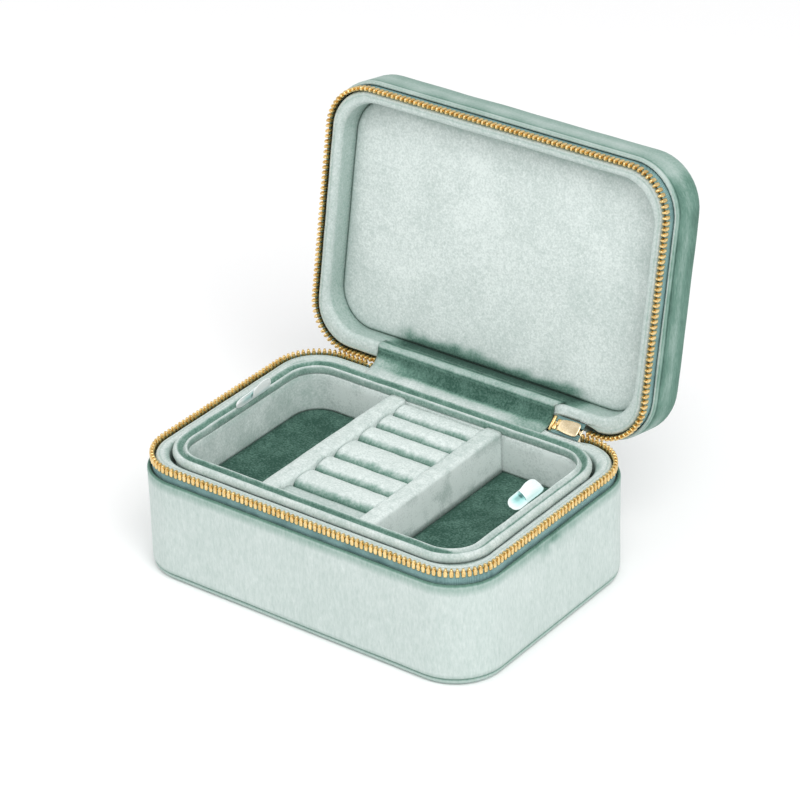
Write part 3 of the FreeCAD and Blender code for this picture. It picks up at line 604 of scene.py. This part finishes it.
# the closed end beside the slider: stop, closed teeth and the two tape ends
end_stop = rounded_block("zipper_bottom_stop", (37.2, 49.6, PARTING - 3.0), (38.4, 51.6, PARTING + 3.0), 0.4,
                         BRASS, TO_ZIP_END)
place(end_stop, "zipper_end", "brass", "zipper_stop")
row_y = DEPTH / 2 - ROW
for side, name, first in ((BASE, "base", 0), (LID, "lid", 1)):
    places = [(Vector((39.1 + k, row_y, 0)), Vector((0, 1, 0))) for k in range(first, 7, 2)]
    teeth("zipper_closed_row_%s" % name, side, places, TO_ZIP_END, "zipper_end", "zipper_closed_teeth",
          reach=0.8)
for side, name in ((BASE, "base"), (LID, "lid")):
    rows = []
    for across, drop in ((-0.28, 1.25), (0.28, 1.25), (0.28, 1.7), (0.15, 2.2), (0.15, 3.5), (-0.15, 3.5),
                         (-0.15, 2.2), (-0.28, 1.7)):
        rows.append([(37.4 + 12.7 * k / 16, row_y + across, PARTING + side * drop) for k in range(17)])
    strip = piece("zipper_end_woven_%s" % name, rows, TAPE, TO_ZIP_END, wrap_rows=True, wrap_cols=False)
    place(strip, "zipper_end", "zipper_tape", "zipper_end_tape_%s" % name)


def slider_plate(name, y0, y1, reach, mouth):
    """One plate of the slider: full at the mouth, slimmer and rounder at the tail."""
    steps = 4
    rows = []
    for k in range(2 * steps + 1):
        t = k / steps - 1
        y = y0 + (y1 - y0) * (0.5 + 0.5 * math.sin(t * math.pi / 2))
        shrink = 0.32 * (1 - math.cos(t * math.pi / 2))
        row = []
        for n in range(48):
            a = 2 * math.pi * n / 48
            c, s = math.cos(a), math.sin(a)
            x = math.copysign(abs(c) ** 0.35, c) * (reach - shrink)
            width = mouth - 0.55 * ease(-x, -1.0, 4.4)
            row.append((SLIDER_X + x, y, PARTING + math.copysign(abs(s) ** 0.35, s) * (width - shrink)))
        rows.append(row)
    return piece(name, rows, PLATE, TO_ZIP_END, caps=(0, -1))


slider_parts = [
    slider_plate("slider_inner_plate", row_y - 1.45, row_y - 0.97, 4.3, 2.75),
    slider_plate("slider_outer_plate", row_y + 0.97, row_y + 1.45, 4.5, 3.5),
    rounded_block("slider_post", (47.9, row_y - 1.2, PARTING - 0.8), (49.5, row_y + 1.2, PARTING + 0.8), 0.3,
                  PLATE, TO_ZIP_END),
]
for side in (-1, 1):
    z_low, z_high = sorted((PARTING + side * 2.9, PARTING + side * 3.45))
    slider_parts.append(rounded_block("slider_flange", (42.4, row_y + 0.3, z_low),
                                      (49.0, row_y + 1.3, z_high), 0.22, PLATE, TO_ZIP_END))


def tube(name, points, radius_x, radius_y, material, at, across=Vector((0, 0, 1))):
    """A bar of oval section along points; across is the direction its radius_y lies in."""
    rows = []
    for k, point in enumerate(points):
        before, after = points[max(k - 1, 0)], points[min(k + 1, len(points) - 1)]
        along = (after - before).normalized()
        side = along.cross(across).normalized()
        rows.append([point + side * radius_x * math.cos(2 * math.pi * n / 12)
                     + across * radius_y * math.sin(2 * math.pi * n / 12) for n in range(12)])
    return piece(name, rows, material, at, caps=(0, -1))


arch = []
for k in range(25):
    a = math.pi * k / 24
    arch.append(Vector((SLIDER_X - 2.8 * math.copysign(abs(math.cos(a)) ** 0.6, math.cos(a)),
                        row_y + 1.3 + 2.55 * math.sin(a) ** 0.6 if 0 < k < 24 else row_y + 1.3, PARTING)))
slider_parts.append(tube("slider_bail", arch, 0.38, 0.52, PLATE, TO_ZIP_END))
for part in slider_parts:
    place(part, "slider_body", "brass", "slider")

# the pull: a flat tab with an eye at the top and a rounded end
pull_rows = []
outline = []
for n in range(72):
    a = 2 * math.pi * n / 72
    c, s = math.cos(a), math.sin(a)
    reach = 11.75 + 12.25 * math.copysign(abs(c) ** 0.3, c)
    width = 1.62 + 0.18 * ease(reach, 3.5, 6.0)
    outline.append((reach, math.copysign(abs(s) ** 0.45, s) * width))
pull_y = row_y + PULL_PIVOT


def pull_frame(reach, width, depth):
    return (SLIDER_X + depth, pull_y + reach, PARTING + width)


window = []
for n in range(72):
    a = 2 * math.pi * n / 72
    c, s = math.cos(a), math.sin(a)
    window.append((2.15 + 1.75 * math.copysign(abs(c) ** 0.4, c), math.copysign(abs(s) ** 0.4, s) * 0.85))
profile = [(0.0, 0.32), (0.06, 0.44), (0.2, 0.5), (0.8, 0.5), (0.94, 0.44), (1.0, 0.32), (1.0, -0.32),
           (0.94, -0.44), (0.8, -0.5), (0.2, -0.5), (0.06, -0.44), (0.0, -0.32)]
for share, depth in profile:
    row = []
    for (ox, oy), (wx, wy) in zip(outline, window):
        row.append(pull_frame(wx + (ox - wx) * share, wy + (oy - wy) * share, depth))
    pull_rows.append(row)
pull = piece("pull_gold_tab", pull_rows, PLATE, TO_ZIP_END, wrap_rows=True)
place(pull, "pull_body", "brass", "pull_tab")

# ------------------------------------------------------------------ tray


def tray_depth(co):
    """How far in from the tray's outer face a point is."""
    dx = LENGTH / 2 - TRAY_INSET - abs(co.x)
    dy = min(DEPTH / 2 - TRAY_INSET + co.y, DEPTH / 2 - TRAY_INSET - REAR_EXTRA - co.y)
    if dx < TRAY_RADIUS and dy < TRAY_RADIUS:
        return TRAY_RADIUS - math.hypot(TRAY_RADIUS - dx, TRAY_RADIUS - dy)
    return min(dx, dy)


def rim_pile(co, normal):
    """A full pale outer roll and a thin pale ridge, with deep green painted shade in the valley between
    them, and more painted shade where the rim drops inside, on its outer foot and along the rear.
    """
    depth = tray_depth(co)
    frontness = ease(-co.y, 36, 41)
    valley = ease(depth, 1.0, 1.6) * (1 - ease(depth, 3.0 + 0.95 * frontness, 3.5 + 0.85 * frontness))
    dark = 0.17 + (0.52 + 0.06 * frontness) * valley + 0.14 * noise.noise(co / 5)
    dark += 0.06 * (1 - ease(depth, -0.5, 0.1))
    dark += 0.40 * ease(depth, 4.7, 5.0)
    rear = ease(co.y, 34, 40)
    return dark + 0.16 * rear * near(depth, 1.0, 0.8)


RIM = [
    (0.3, 43.35), (-0.2, 43.7), (-0.42, 44.3), (-0.42, 45.1), (-0.15, 45.9), (0.35, 46.45), (0.9, 46.65),
    (1.4, 46.5), (1.8, 46.05), (2.1, 45.5), (2.5, 45.1), (3.0, 45.0), (3.5, 45.3), (3.8, 45.9),
    (4.08, 46.45), (4.4, 46.68), (4.72, 46.48), (4.95, 45.85), (5.0, 44.9), (4.96, 43.9), (4.7, 43.35),
]
rim = swept_tray("tray_rolled_rim", RIM, LINING, lump=0.16, lump_size=7, pile=rim_pile)
place(rim, "tray", "lining_velvet", "tray_rim")

WALL = [
    (2.0, 43.1), (4.7, 43.2), (4.92, 42.8), (4.95, 40), (4.95, 36), (4.95, 32), (4.9, 29), (4.8, 28.1),
    (2.0, 28.05),
]
# painted shade: darker at the foot of the wall, under the rim and along the left wall; the noise is random
# tone
lining = swept_tray("tray_wall_lining", WALL, LINING, lump=0.22, lump_size=13,
                    pile=lambda co, n: 0.02 + 0.10 * (1 - ease(co.z, 27, 33)) + 0.08 * ease(co.z, 41, 43)
                    + 0.14 * ease(-co.x, 45, 60) + 0.16 * noise.noise(co / 6))
place(lining, "tray", "lining_velvet", "tray_lining")

TUB = [
    (1.8, 43.1), (0.5, 43.15), (0.42, 42), (0.4, 36), (0.4, 30), (0.45, 27.8), (0.8, 26.85), (1.6, 26.45),
    (2.6, 26.4), (12, 26.4), (24, 26.4), (38, 26.4),
]
tub = swept_tray("tray_velvet_tub", TUB, LINING, closed=False, caps=(-1,), lump=0.0, pile=lambda co, n: 0.36)
place(tub, "tray", "lining_velvet", "tray_board")
INNER_FLOOR = [(1.9, 42.9), (1.9, 28.4), (2.2, 27.95), (12, 27.9), (24, 27.9), (38, 27.9)]
inner_floor = swept_tray("tray_inner_floor", INNER_FLOOR, FLOOR, closed=False, caps=(-1,),
                         pile=lambda co, n: 0.9)
place(inner_floor, "tray", "floor_velvet")


def floor_patch(name, side, node):
    """The dark floor of one side compartment, rounded in the tray's corners, softly uneven, with painted
    shade along the foot of the divider.
    """
    x_in, x_out, front, back, radius = 24.95, 62.0, TRAY_FRONT, TRAY_BACK, 10.9
    rows = []
    for j in range(41):
        y = front + (back - front) * j / 40
        over = max(0.0, radius - min(y - front, back - y))
        reach = x_out - (radius - math.sqrt(max(radius * radius - over * over, 0.0)))
        row = []
        for i in range(25):
            x = x_in + (reach - x_in) * i / 24
            edge = min(x - x_in, reach - x, y - front, back - y)
            swell = 0.7 * ease(edge, -0.2, 1.0) + 0.12 * noise.noise(Vector((x, y, 0)) / 9)
            row.append((side * x, y, 28.1 + swell))
        rows.append(row)
    obj = piece(name, rows, FLOOR, wrap_cols=False,
                pile=lambda co, n: 0.92 + 0.12 * noise.noise(co / 6) + 0.08 * near(abs(co.x), 25, 1.5))
    return place(obj, "tray", "floor_velvet", node)


floor_patch("tray_floor_left", -1, "tray_pad_left")
floor_patch("tray_floor_right", 1, "tray_pad_right")

DIVIDER = [
    (-3.48, 28.1), (-3.5, 31), (-3.5, 34), (-3.5, 37), (-3.5, 40), (-3.5, 43.2), (-3.42, 44.05),
    (-3.1, 44.55), (-2.3, 44.8), (-1.2, 44.87), (0.0, 44.88), (1.2, 44.87), (2.3, 44.8), (3.1, 44.55),
    (3.42, 44.05), (3.5, 43.2), (3.5, 40), (3.5, 37), (3.5, 34), (3.5, 31), (3.48, 28.1),
]
for side, name in ((-1, "left"), (1, "right")):
    rows = []
    for j in range(65):
        y = -39.4 + 77.2 * j / 64
        sink = 0.25 * near(y, -39.4, 2.5) + 0.25 * near(y, 37.8, 2.5)
        rows.append([(side * DIVIDER_X + x, y, z - (sink if z > 42 else 0)) for x, z in DIVIDER])
    # painted light and shade: the sides are lightened against their shade and the foot darkened; the
    # blotches and fine noise are random tone
    wall = piece("divider_velvet_" + name, rows, LINING, caps=(0, -1), lump=0.22, lump_size=10,
                 pile=lambda co, n: 0.10 - 0.10 * ease(abs(n.x), 0.5, 0.9) + 0.10 * (1 - ease(co.z, 28, 33))
                 + (0.04 + 0.16 * ease(abs(n.x), 0.5, 0.9)) * ease(noise.noise(co / 8), 0.05, 0.5)
                 + 0.10 * noise.noise(co / 2.5))
    place(wall, "tray", "lining_velvet", "divider_" + name)


def cushion(name, front, back, top, node, flat=0.55):
    """One ring roll: a stuffed tube, pressed flat below, butting against the dividers."""
    low, half = 37.65, RING_HALF
    centre, width = (front + back) / 2, (back - front) / 2 - 0.06
    rows = []
    for j in range(81):
        x = -half + 2 * half * j / 80
        end = min(x + half, half - x)
        pinch = 1 - 0.12 * (1 - ease(end, 0.0, 1.6)) ** 2
        row = []
        for k in range(29):
            a = math.radians(-100 + 200 * k / 28)
            y = math.copysign(abs(math.sin(a)) ** 0.82, math.sin(a)) * width * (0.6 + 0.4 * pinch)
            rise = max(math.cos(a), 0.0) ** flat
            row.append((x, centre + y, low + (top - low) * rise * pinch))
        rows.append(row)

    def roll_pile(co, normal):
        # Painted shade: the roll's front side, its ends at the dividers and its rear edge at the gap lie
        # darker.
        across = (co.y - centre) / width
        fuzz = 0.10 * noise.noise(co / 1.3) + 0.07 * noise.noise(co / 5)
        side_dark = 0.52 * ease(-across + fuzz, 0.56, 0.90) + 0.22 * ease(-across, 0.88, 1.0)
        ends = 0.16 * (1 - ease(half - abs(co.x), 0.0, 0.7))
        return 0.09 + side_dark + ends + 0.16 * ease(across, 0.80, 1.0)

    obj = piece(name, rows, LINING, caps=(0, -1), lump=0.16, lump_size=5, pile=roll_pile)
    place(obj, "tray", "lining_velvet", node)


edge = 38.0
for number, width in enumerate((9.0, 10.3, 10.5, 14.4, 10.8, 12.3), start=1):
    cushion("ring_cushion_%d" % number, edge - width, edge, 44.0, "ring_roll_%d" % number)
    edge -= width
STRIP = []
for j in range(21):
    x = RING_HALF * (j / 10 - 1)
    row = []
    for y, z in ((-39.45, 37.7), (-39.45, 41.6), (-39.1, 42.4), (-38, 42.7), (-35, 42.8), (-32, 42.6),
                 (-30.4, 42.0), (-29.7, 41.0), (-29.45, 39.4), (-29.45, 37.7)):
        row.append((x, y, z))
    STRIP.append(row)
# painted shade: darker along its rear side, against the first roll
strip = piece("ring_front_strip", STRIP, LINING, caps=(0, -1), lump=0.15, lump_size=7,
              pile=lambda co, n: 0.24 + 0.30 * ease(co.y, -31.5, -29.6))
place(strip, "tray", "lining_velvet", "ring_strip")
ring_floor = [[(RING_HALF * i, y, z) for i in (-1, -0.5, 0, 0.5, 1)] for y, z in
              ((-39.4, 28.1), (-39.4, 37.45), (-10, 37.5), (10, 37.5), (37.8, 37.45), (37.8, 28.1))]
ring_block = piece("ring_block", ring_floor, BOARD, wrap_cols=False)
place(ring_block, "tray", "board", "ring_base")

# ------------------------------------------------------------------ ribbon pulls


def ribbon(name, side, lean, centre, length, body, node):
    """A loop of satin ribbon sewn in at the tray's inner edge: a hollow near lobe under a full far one. Its
    colour is painted light and shade: white where lit, aqua shade in the hollow lobe with a painted
    highlight along its border, dark shade in the slit, greyer low on the far lobe, and darker all over on
    the right ribbon.
    """
    height = 6.2
    half = length / 2
    near_bulge, far_bulge, shade = (-0.75, 0.75, 0.14) if side > 0 else (0.45, -0.45, 0.0)
    vertices, faces, values = [], [], []

    def lobe(start, end, bulge, lift, rounded, shading):
        first = len(vertices)
        nu, nv = 28, 20
        for v in range(nv + 1):
            for u in range(nu + 1):
                t, h = u / nu, v / nv
                middle, span = rounded(t)
                rise = middle + (h - 0.5) * span
                out = bulge * math.sin(math.pi * t) * ease(h, 0, 0.7) + lift * (1 - t) * ease(h, 0.0, 0.35)
                curl = 0.8 * ease(h, 0.6, 1.0)
                along = centre + start + (end - start) * t
                vertices.append(Vector((out - curl * 0.4, along, rise * height - 0.2 * curl)))
                values.append(min(1.0, max(0.0, shading(t, h))))
        for v in range(nv):
            for u in range(nu):
                a = first + v * (nu + 1) + u
                faces.append((a, a + 1, a + nu + 2, a + nu + 1))

    def near_end(t):
        span = math.sqrt(1 - (1 - min(t / 0.42, 1.0)) ** 2) * 0.86 + 0.04
        return 0.40 + 0.05 * t, span

    def far_end(t):
        turn_in = 1 - math.sqrt(max(0.0, 1 - max(0.0, (t - 0.6) / 0.4) ** 2))
        upper = (0.88 + 0.12 * ease(t, 0.0, 0.45)) * (1 - 0.36 * turn_in)
        lower = 0.14 * turn_in
        return (upper + lower) / 2, upper - lower

    def near_shading(t, h):
        edge_highlight = 1 - ease(min(t * 1.4, h, 1 - h), 0.04, 0.36)
        slit = near(h, 0.62, 0.16) * near(t, 0.745, 0.035)
        hollow_shade = (0.52 + shade) * (1 - 0.75 * edge_highlight) * ease(t, 0.1, 0.55)
        return shade + hollow_shade * (0.6 + 0.4 * ease(h, 0.3, 0.6)) + 0.7 * slit

    def far_shading(t, h):
        return shade + 0.28 * (1 - ease(h, 0.05, 0.5)) * (0.7 + 0.3 * ease(t, 0.1, 0.4))

    lobe(-half, 1.0, near_bulge, 0.0, near_end, near_shading)
    lobe(-1.4, half, far_bulge, 0.8, far_end, far_shading)
    mesh = bpy.data.meshes.new(name)
    mesh.from_pydata([tuple(v) for v in vertices], [], faces)
    mesh.update()
    values_layer = mesh.attributes.new("pile", "FLOAT", "POINT")
    for i, value in enumerate(values):
        values_layer.data[i].value = value
    for polygon in mesh.polygons:
        polygon.use_smooth = True
    root = Vector((side * RIBBON_REACH, 0, RIBBON_ROOT))
    turn = Matrix.Rotation(math.radians(-side * lean), 4, "Y")
    mesh.transform(Matrix.Scale(MM, 4) @ Matrix.Translation(root) @ turn)
    mesh.materials.append(SATIN)
    obj = bpy.data.objects.new(name, mesh)
    bpy.context.scene.collection.objects.link(obj)
    thick = obj.modifiers.new("thickness", "SOLIDIFY")
    thick.thickness = 0.00022
    thick.offset = 0
    return place(obj, body, "satin", node)


ribbon("ribbon_loop_left", -1, 18.0, 3.6, 19.6, "ribbon_left_body", "ribbon_left")
ribbon("ribbon_loop_right", 1, 50.0, 2.4, 18.2, "ribbon_right_body", "ribbon_right")

# ------------------------------------------------------------------ lid half, drawn closed


def lid_cover_pile(co, normal):
    """Painted light and shade: the lid's walls are darkened by which way they face, its top paler; a painted
    highlight follows the rolled edge, with a shaded line beside it and a paler band further on.
    """
    base = max(0.78 * ease(normal.x, 0.2, 0.9), 0.54 * ease(-normal.y, 0.2, 0.9),
               0.45 * ease(-normal.x, 0.2, 0.9), 0.38 * ease(normal.y, 0.2, 0.9), 0.30)
    edge = LID_LOW
    base -= 0.26 * near(co.z, edge + 1.0, 0.5)
    base += 0.22 * near(co.z, edge + 2.2, 0.45)
    base -= 0.16 * near(co.z, edge + 7.5, 3.0)
    base += 0.12 * noise.noise(co / 9) * (1 - 0.6 * ease(normal.z, 0.4, 0.9))
    return base


LID_LOW = PARTING + TAPE_REVEAL
LID_COVER = [
    (1.5, 56), (1.5, 52.0), (1.38, 51.3), (1.08, 50.9), (0.66, 50.82), (0.26, 51.15), (0.02, 51.7),
    (-0.04, 52.4), (0.10, 52.95), (0.0, 53.6), (0.0, 56), (0.0, 59), (0.0, 62), (0.0, 64.0), (0.12, 65.2),
    (0.5, 66.4), (1.1, 67.5), (2.0, 68.5), (3.1, 69.3), (4.4, 69.8), (6.0, 70.0),
] + [(8.0 + 2.1 * k, 70.0 + 0.1 * ease(k, 0, 8)) for k in range(21)]
lid_cover = swept("lid_velvet_cover", LID_COVER, SHELL, TO_LID, closed=False, caps=(-1,), lump=0.18,
                  lump_size=17, pile=lid_cover_pile)
place(lid_cover, "lid", "shell_velvet", "lid_cover")


def lid_lip_pile(co, normal):
    # Painted shade: darker where the lip turns down at its outer edge, on its inner wall and most near the
    # hinge; a faint seam line runs along it.
    inward = inset_of(co)
    rear = REAR_EXTRA if co.y > 40 else 0
    dark = 0.20 + 0.26 * (1 - ease(inward, 3.1, 3.7)) + 0.16 * near(inward, 4.72, 0.22)
    wall = ease(co.z, 48.4, 49.8) * ease(inward - rear, 6.5, 6.9)
    dark += wall * (0.16 + 0.10 * ease(co.z, 53.5, 55.8))
    dark += wall * 0.60 * ease(co.y, 38, 43) * ease(46 - abs(co.x - 2), 0, 8)
    return dark


LID_LINER = flip([(i, z, r) for i, z, r in LINER if z > 38.5])
LID_LINER = [(4.3, 62, 0)] + LID_LINER + [(7.0, 54, R), (7.0, 57, R), (7.0, 60, R), (6.9, 62, R)]
lid_liner = swept("lid_velvet_lip", LID_LINER, LINING, TO_LID, lump=0.12, lump_size=9, pile=lid_lip_pile,
                  move=slider_notch)
place(lid_liner, "lid", "lining_velvet", "lid_liner")


def lid_pad_pile(co, normal):
    """Pale in the middle, with painted shade where the face turns in to its seam, in bands along its front
    and right edges and towards the hinge.
    """
    inward = min(LENGTH / 2 - 7.2 - abs(co.x), co.y + DEPTH / 2 - 7.2, DEPTH / 2 - 8.8 - co.y)
    dark = 0.10 + 0.50 * (1 - ease(inward, 0.1, 0.8)) + 0.08 * (1 - ease(inward, 0.5, 6.0))
    wander = 0.75 + 0.5 * noise.noise(co / 9)
    dark += 0.34 * wander * (1 - ease(co.y + DEPTH / 2 - 7.2, 0.3, 5.5)) * ease(co.x, -66, -40)
    dark += 0.22 * wander * (1 - ease(LENGTH / 2 - 7.2 - co.x, 0.3, 6.0)) * (1 - ease(co.y, -5, 30))
    dark += 0.04 * ease(co.y, 24, 40) * near(co.x, -8, 38) + 0.06 * noise.noise(co / 12)
    dark += 0.62 * ease(co.y + 2.5 * noise.noise(co / 6), 37.6, 41.4) * ease(44 - abs(co.x - 2), 0, 10)
    return dark


PANEL = [
    (7.15, 60.1, R), (7.1, 58.0, R), (7.25, 57.2, R), (7.7, 56.55, R), (8.4, 56.2, R), (9.1, 56.08, R),
    (9.8, 55.99, R), (10.6, 55.94, R), (11.4, 55.91, R), (12.4, 55.9, R), (13.6, 55.88, R), (15, 55.86, R),
] + [(17.0 + 2.1 * k, 55.83 - 0.03 * ease(k, 0, 4), R) for k in range(14)]
panel = swept("lid_padded_panel", PANEL, LINING, TO_LID, closed=False, caps=(0, -1), lump=0.28, lump_size=20,
              pile=lid_pad_pile)
place(panel, "lid", "lining_velvet", "lid_pad")

# ------------------------------------------------------------------ fabric over the hinge


def across_hinge(name, front_face, rear_face, left, right, pile, nodes, material, wave=0.0,
                 ears=None):
    """A band of fabric along the hinge, from two rows of (y, z): its visible face and its back."""
    steps = 52
    rows = []
    for k in range(steps + 1):
        x = left + (right - left) * k / steps
        edge = min(k, steps - k) / steps
        row = []
        for n, (y, z) in enumerate(front_face + rear_face[::-1]):
            dy = dz = dx = 0.0
            if n < len(front_face):
                t = n / (len(front_face) - 1)
                fade = math.sin(math.pi * min(1, edge * 5))
                ripple = wave * noise.noise(Vector((x / 9, t * 3, 2.5))) * fade
                dy, dz = -0.5 * ripple, 0.8 * ripple
                if ears:
                    dx = ears(x, t)
            row.append((x + dx, y + dy, z + dz))
        rows.append(row)
    obj = piece(name, rows, material, wrap_rows=False, wrap_cols=True, caps=(0, -1), pile=pile)
    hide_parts(*nodes)
    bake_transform(obj)
    return obj


def curve(points, count):
    """Evenly spread points on a smooth curve through the given ones."""
    dense = []
    padded = [points[0]] + list(points) + [points[-1]]
    for i in range(1, len(padded) - 2):
        p0, p1, p2, p3 = (Vector(p) for p in padded[i - 1:i + 3])
        for k in range(12):
            t = k / 12
            dense.append(0.5 * ((2 * p1) + (p2 - p0) * t + (2 * p0 - 5 * p1 + 4 * p2 - p3) * t ** 2
                                + (3 * p1 - p0 - 3 * p2 + p3) * t ** 3))
    dense.append(Vector(points[-1]))
    lengths = [0.0]
    for a, b in zip(dense, dense[1:]):
        lengths.append(lengths[-1] + (b - a).length)
    result = []
    for k in range(count):
        want = lengths[-1] * k / (count - 1)
        i = next((n for n in range(1, len(lengths)) if lengths[n] >= want - 1e-9), len(lengths) - 1)
        share = (want - lengths[i - 1]) / max(lengths[i] - lengths[i - 1], 1e-9)
        point = dense[i - 1].lerp(dense[i], share)
        result.append((point.x, point.y))
    return result


FACE = curve([(44.5, 44.25), (44.75, 44.95), (46.4, 45.25), (48.4, 45.5), (50.6, 46.35), (52.2, 47.9),
              (52.95, 49.8), (53.25, 51.6), (53.75, 52.75), (54.9, 53.05), (56.4, 52.7), (58.2, 52.3)], 44)
BACK = curve([(44.9, 44.2), (48.6, 44.3), (51.3, 45.2), (53.2, 47.2), (54.1, 51.4), (54.9, 52.35),
              (56.4, 52.2), (58.2, 51.95)], 24)


def strip_pile(co, normal):
    """A pale band on the lip, deep green painted shade in the hollow, a painted highlight on the rolled top
    edge, and painted shade behind it and at the right end of the lower band.
    """
    hollow = ease(co.z, 45.15, 46.1) * (1 - ease(co.z, 51.2, 52.4))
    hollow *= 1 - 0.65 * near(co.x, -42, 12) * (1 - ease(co.z, 46.6, 49.6))
    dark = 0.16 + 0.74 * hollow - 0.16 * near(co.z, 50.8, 0.35)
    dark += 0.26 * ease(co.z, 51.6, 52.6) + 0.45 * ease(co.x, 16, 32) * (1 - ease(co.z, 45.1, 45.9))
    dark += 0.45 * ease(co.y, 55.2, 56.5)
    dark += 0.12 * noise.noise(co / 6)
    return dark


across_hinge("hinge_velvet_strip", FACE, BACK, -41.9, 36.7, strip_pile, ("hinge_strip",),
             LINING, wave=0.5,
             ears=lambda x, t: 2.6 * ease(t, 0.72, 0.95) * ease(x, 30, 37))

OUTSIDE = curve([(52.4, 40.7), (52.3, 42.6), (52.35, 44.0), (52.9, 44.9), (54.4, 44.75), (56.2, 44.15)], 22)
INSIDE = curve([(51.6, 40.7), (51.55, 43.0), (51.7, 44.7), (52.6, 45.5), (54.6, 45.2), (56.3, 44.6)], 22)
across_hinge("spine_velvet_band", OUTSIDE, INSIDE, -41.9, 35.9,
             lambda co, n: 0.40 + 0.2 * noise.noise(co / 7), ("spine_band",),
             SHELL)

# ------------------------------------------------------------------ nodes that stay as they are

# the boards and the foam show as the frame has them, and only take a material
for name, material in (("base_board", BOARD), ("lid_board", BOARD), ("lid_panel_board", BOARD),
                       ("lid_foam", FOAM)):
    node = NODES[name]
    node.data.materials.clear()
    node.data.materials.append(material)

# ------------------------------------------------------------------ floor, light and camera

ground = bpy.data.meshes.new("floor")
ground.from_pydata([(-6, -6, 0), (6, -6, 0), (6, 6, 0), (-6, 6, 0)], [], [(0, 1, 2, 3)])
floor = bpy.data.objects.new("floor", ground)
bpy.context.scene.collection.objects.link(floor)
floor_material, floor_tree, floor_shader, floor_coords = start_material("studio_floor")
soft = noise_node(floor_tree, floor_coords, 1.2, 1.0)
floor_ramp = floor_tree.nodes.new("ShaderNodeValToRGB")
floor_ramp.color_ramp.elements[0].color = (0.93, 0.93, 0.935, 1)
floor_ramp.color_ramp.elements[1].color = (0.96, 0.96, 0.96, 1)
link(floor_tree, soft, floor_ramp.inputs[0])
link(floor_tree, floor_ramp.outputs[0], floor_shader.inputs["Base Color"])
floor_shader.inputs["Roughness"].default_value = 0.9
ground.materials.append(floor_material)

world = bpy.data.worlds.new("studio")
world.use_nodes = True
world.node_tree.nodes["Background"].inputs["Color"].default_value = (1.0, 1.0, 1.0, 1)
world.node_tree.nodes["Background"].inputs["Strength"].default_value = 0.78
bpy.context.scene.world = world


def area_light(name, position, target, size, power, colour=(1, 1, 1)):
    data = bpy.data.lights.new(name, "AREA")
    data.size = size
    data.energy = power
    data.color = colour
    lamp = bpy.data.objects.new(name, data)
    bpy.context.scene.collection.objects.link(lamp)
    lamp.location = position
    lamp.rotation_euler = (Vector(target) - Vector(position)).to_track_quat("-Z", "Y").to_euler()
    return lamp


area_light("key", (0.75, -0.55, 1.25), (0, 0, 0.05), 0.9, 9.8)
area_light("side", (1.25, -0.45, 0.95), (0, 0, 0.05), 0.8, 4.0)
area_light("fill", (-1.2, -0.9, 0.9), (0, 0, 0.05), 1.2, 5.0)

camera_data = bpy.data.cameras.new("camera")
camera_data.sensor_width = 36.0
camera_data.lens = 159.118
camera_data.clip_start = 0.05
camera_data.clip_end = 20.0
camera = bpy.data.objects.new("camera", camera_data)
bpy.context.scene.collection.objects.link(camera)
right = Vector((0.80112, 0.59801, -0.02423))
up = Vector((-0.27930, 0.40934, 0.86858))
back = Vector((0.52934, -0.68907, 0.49495))
pose = Matrix((right, up, back)).transposed().to_4x4()
pose.translation = Vector((0.65990, -0.84794, 0.67952))
camera.matrix_world = pose
bpy.context.scene.camera = camera
bpy.context.scene.view_settings.view_transform = "Standard"
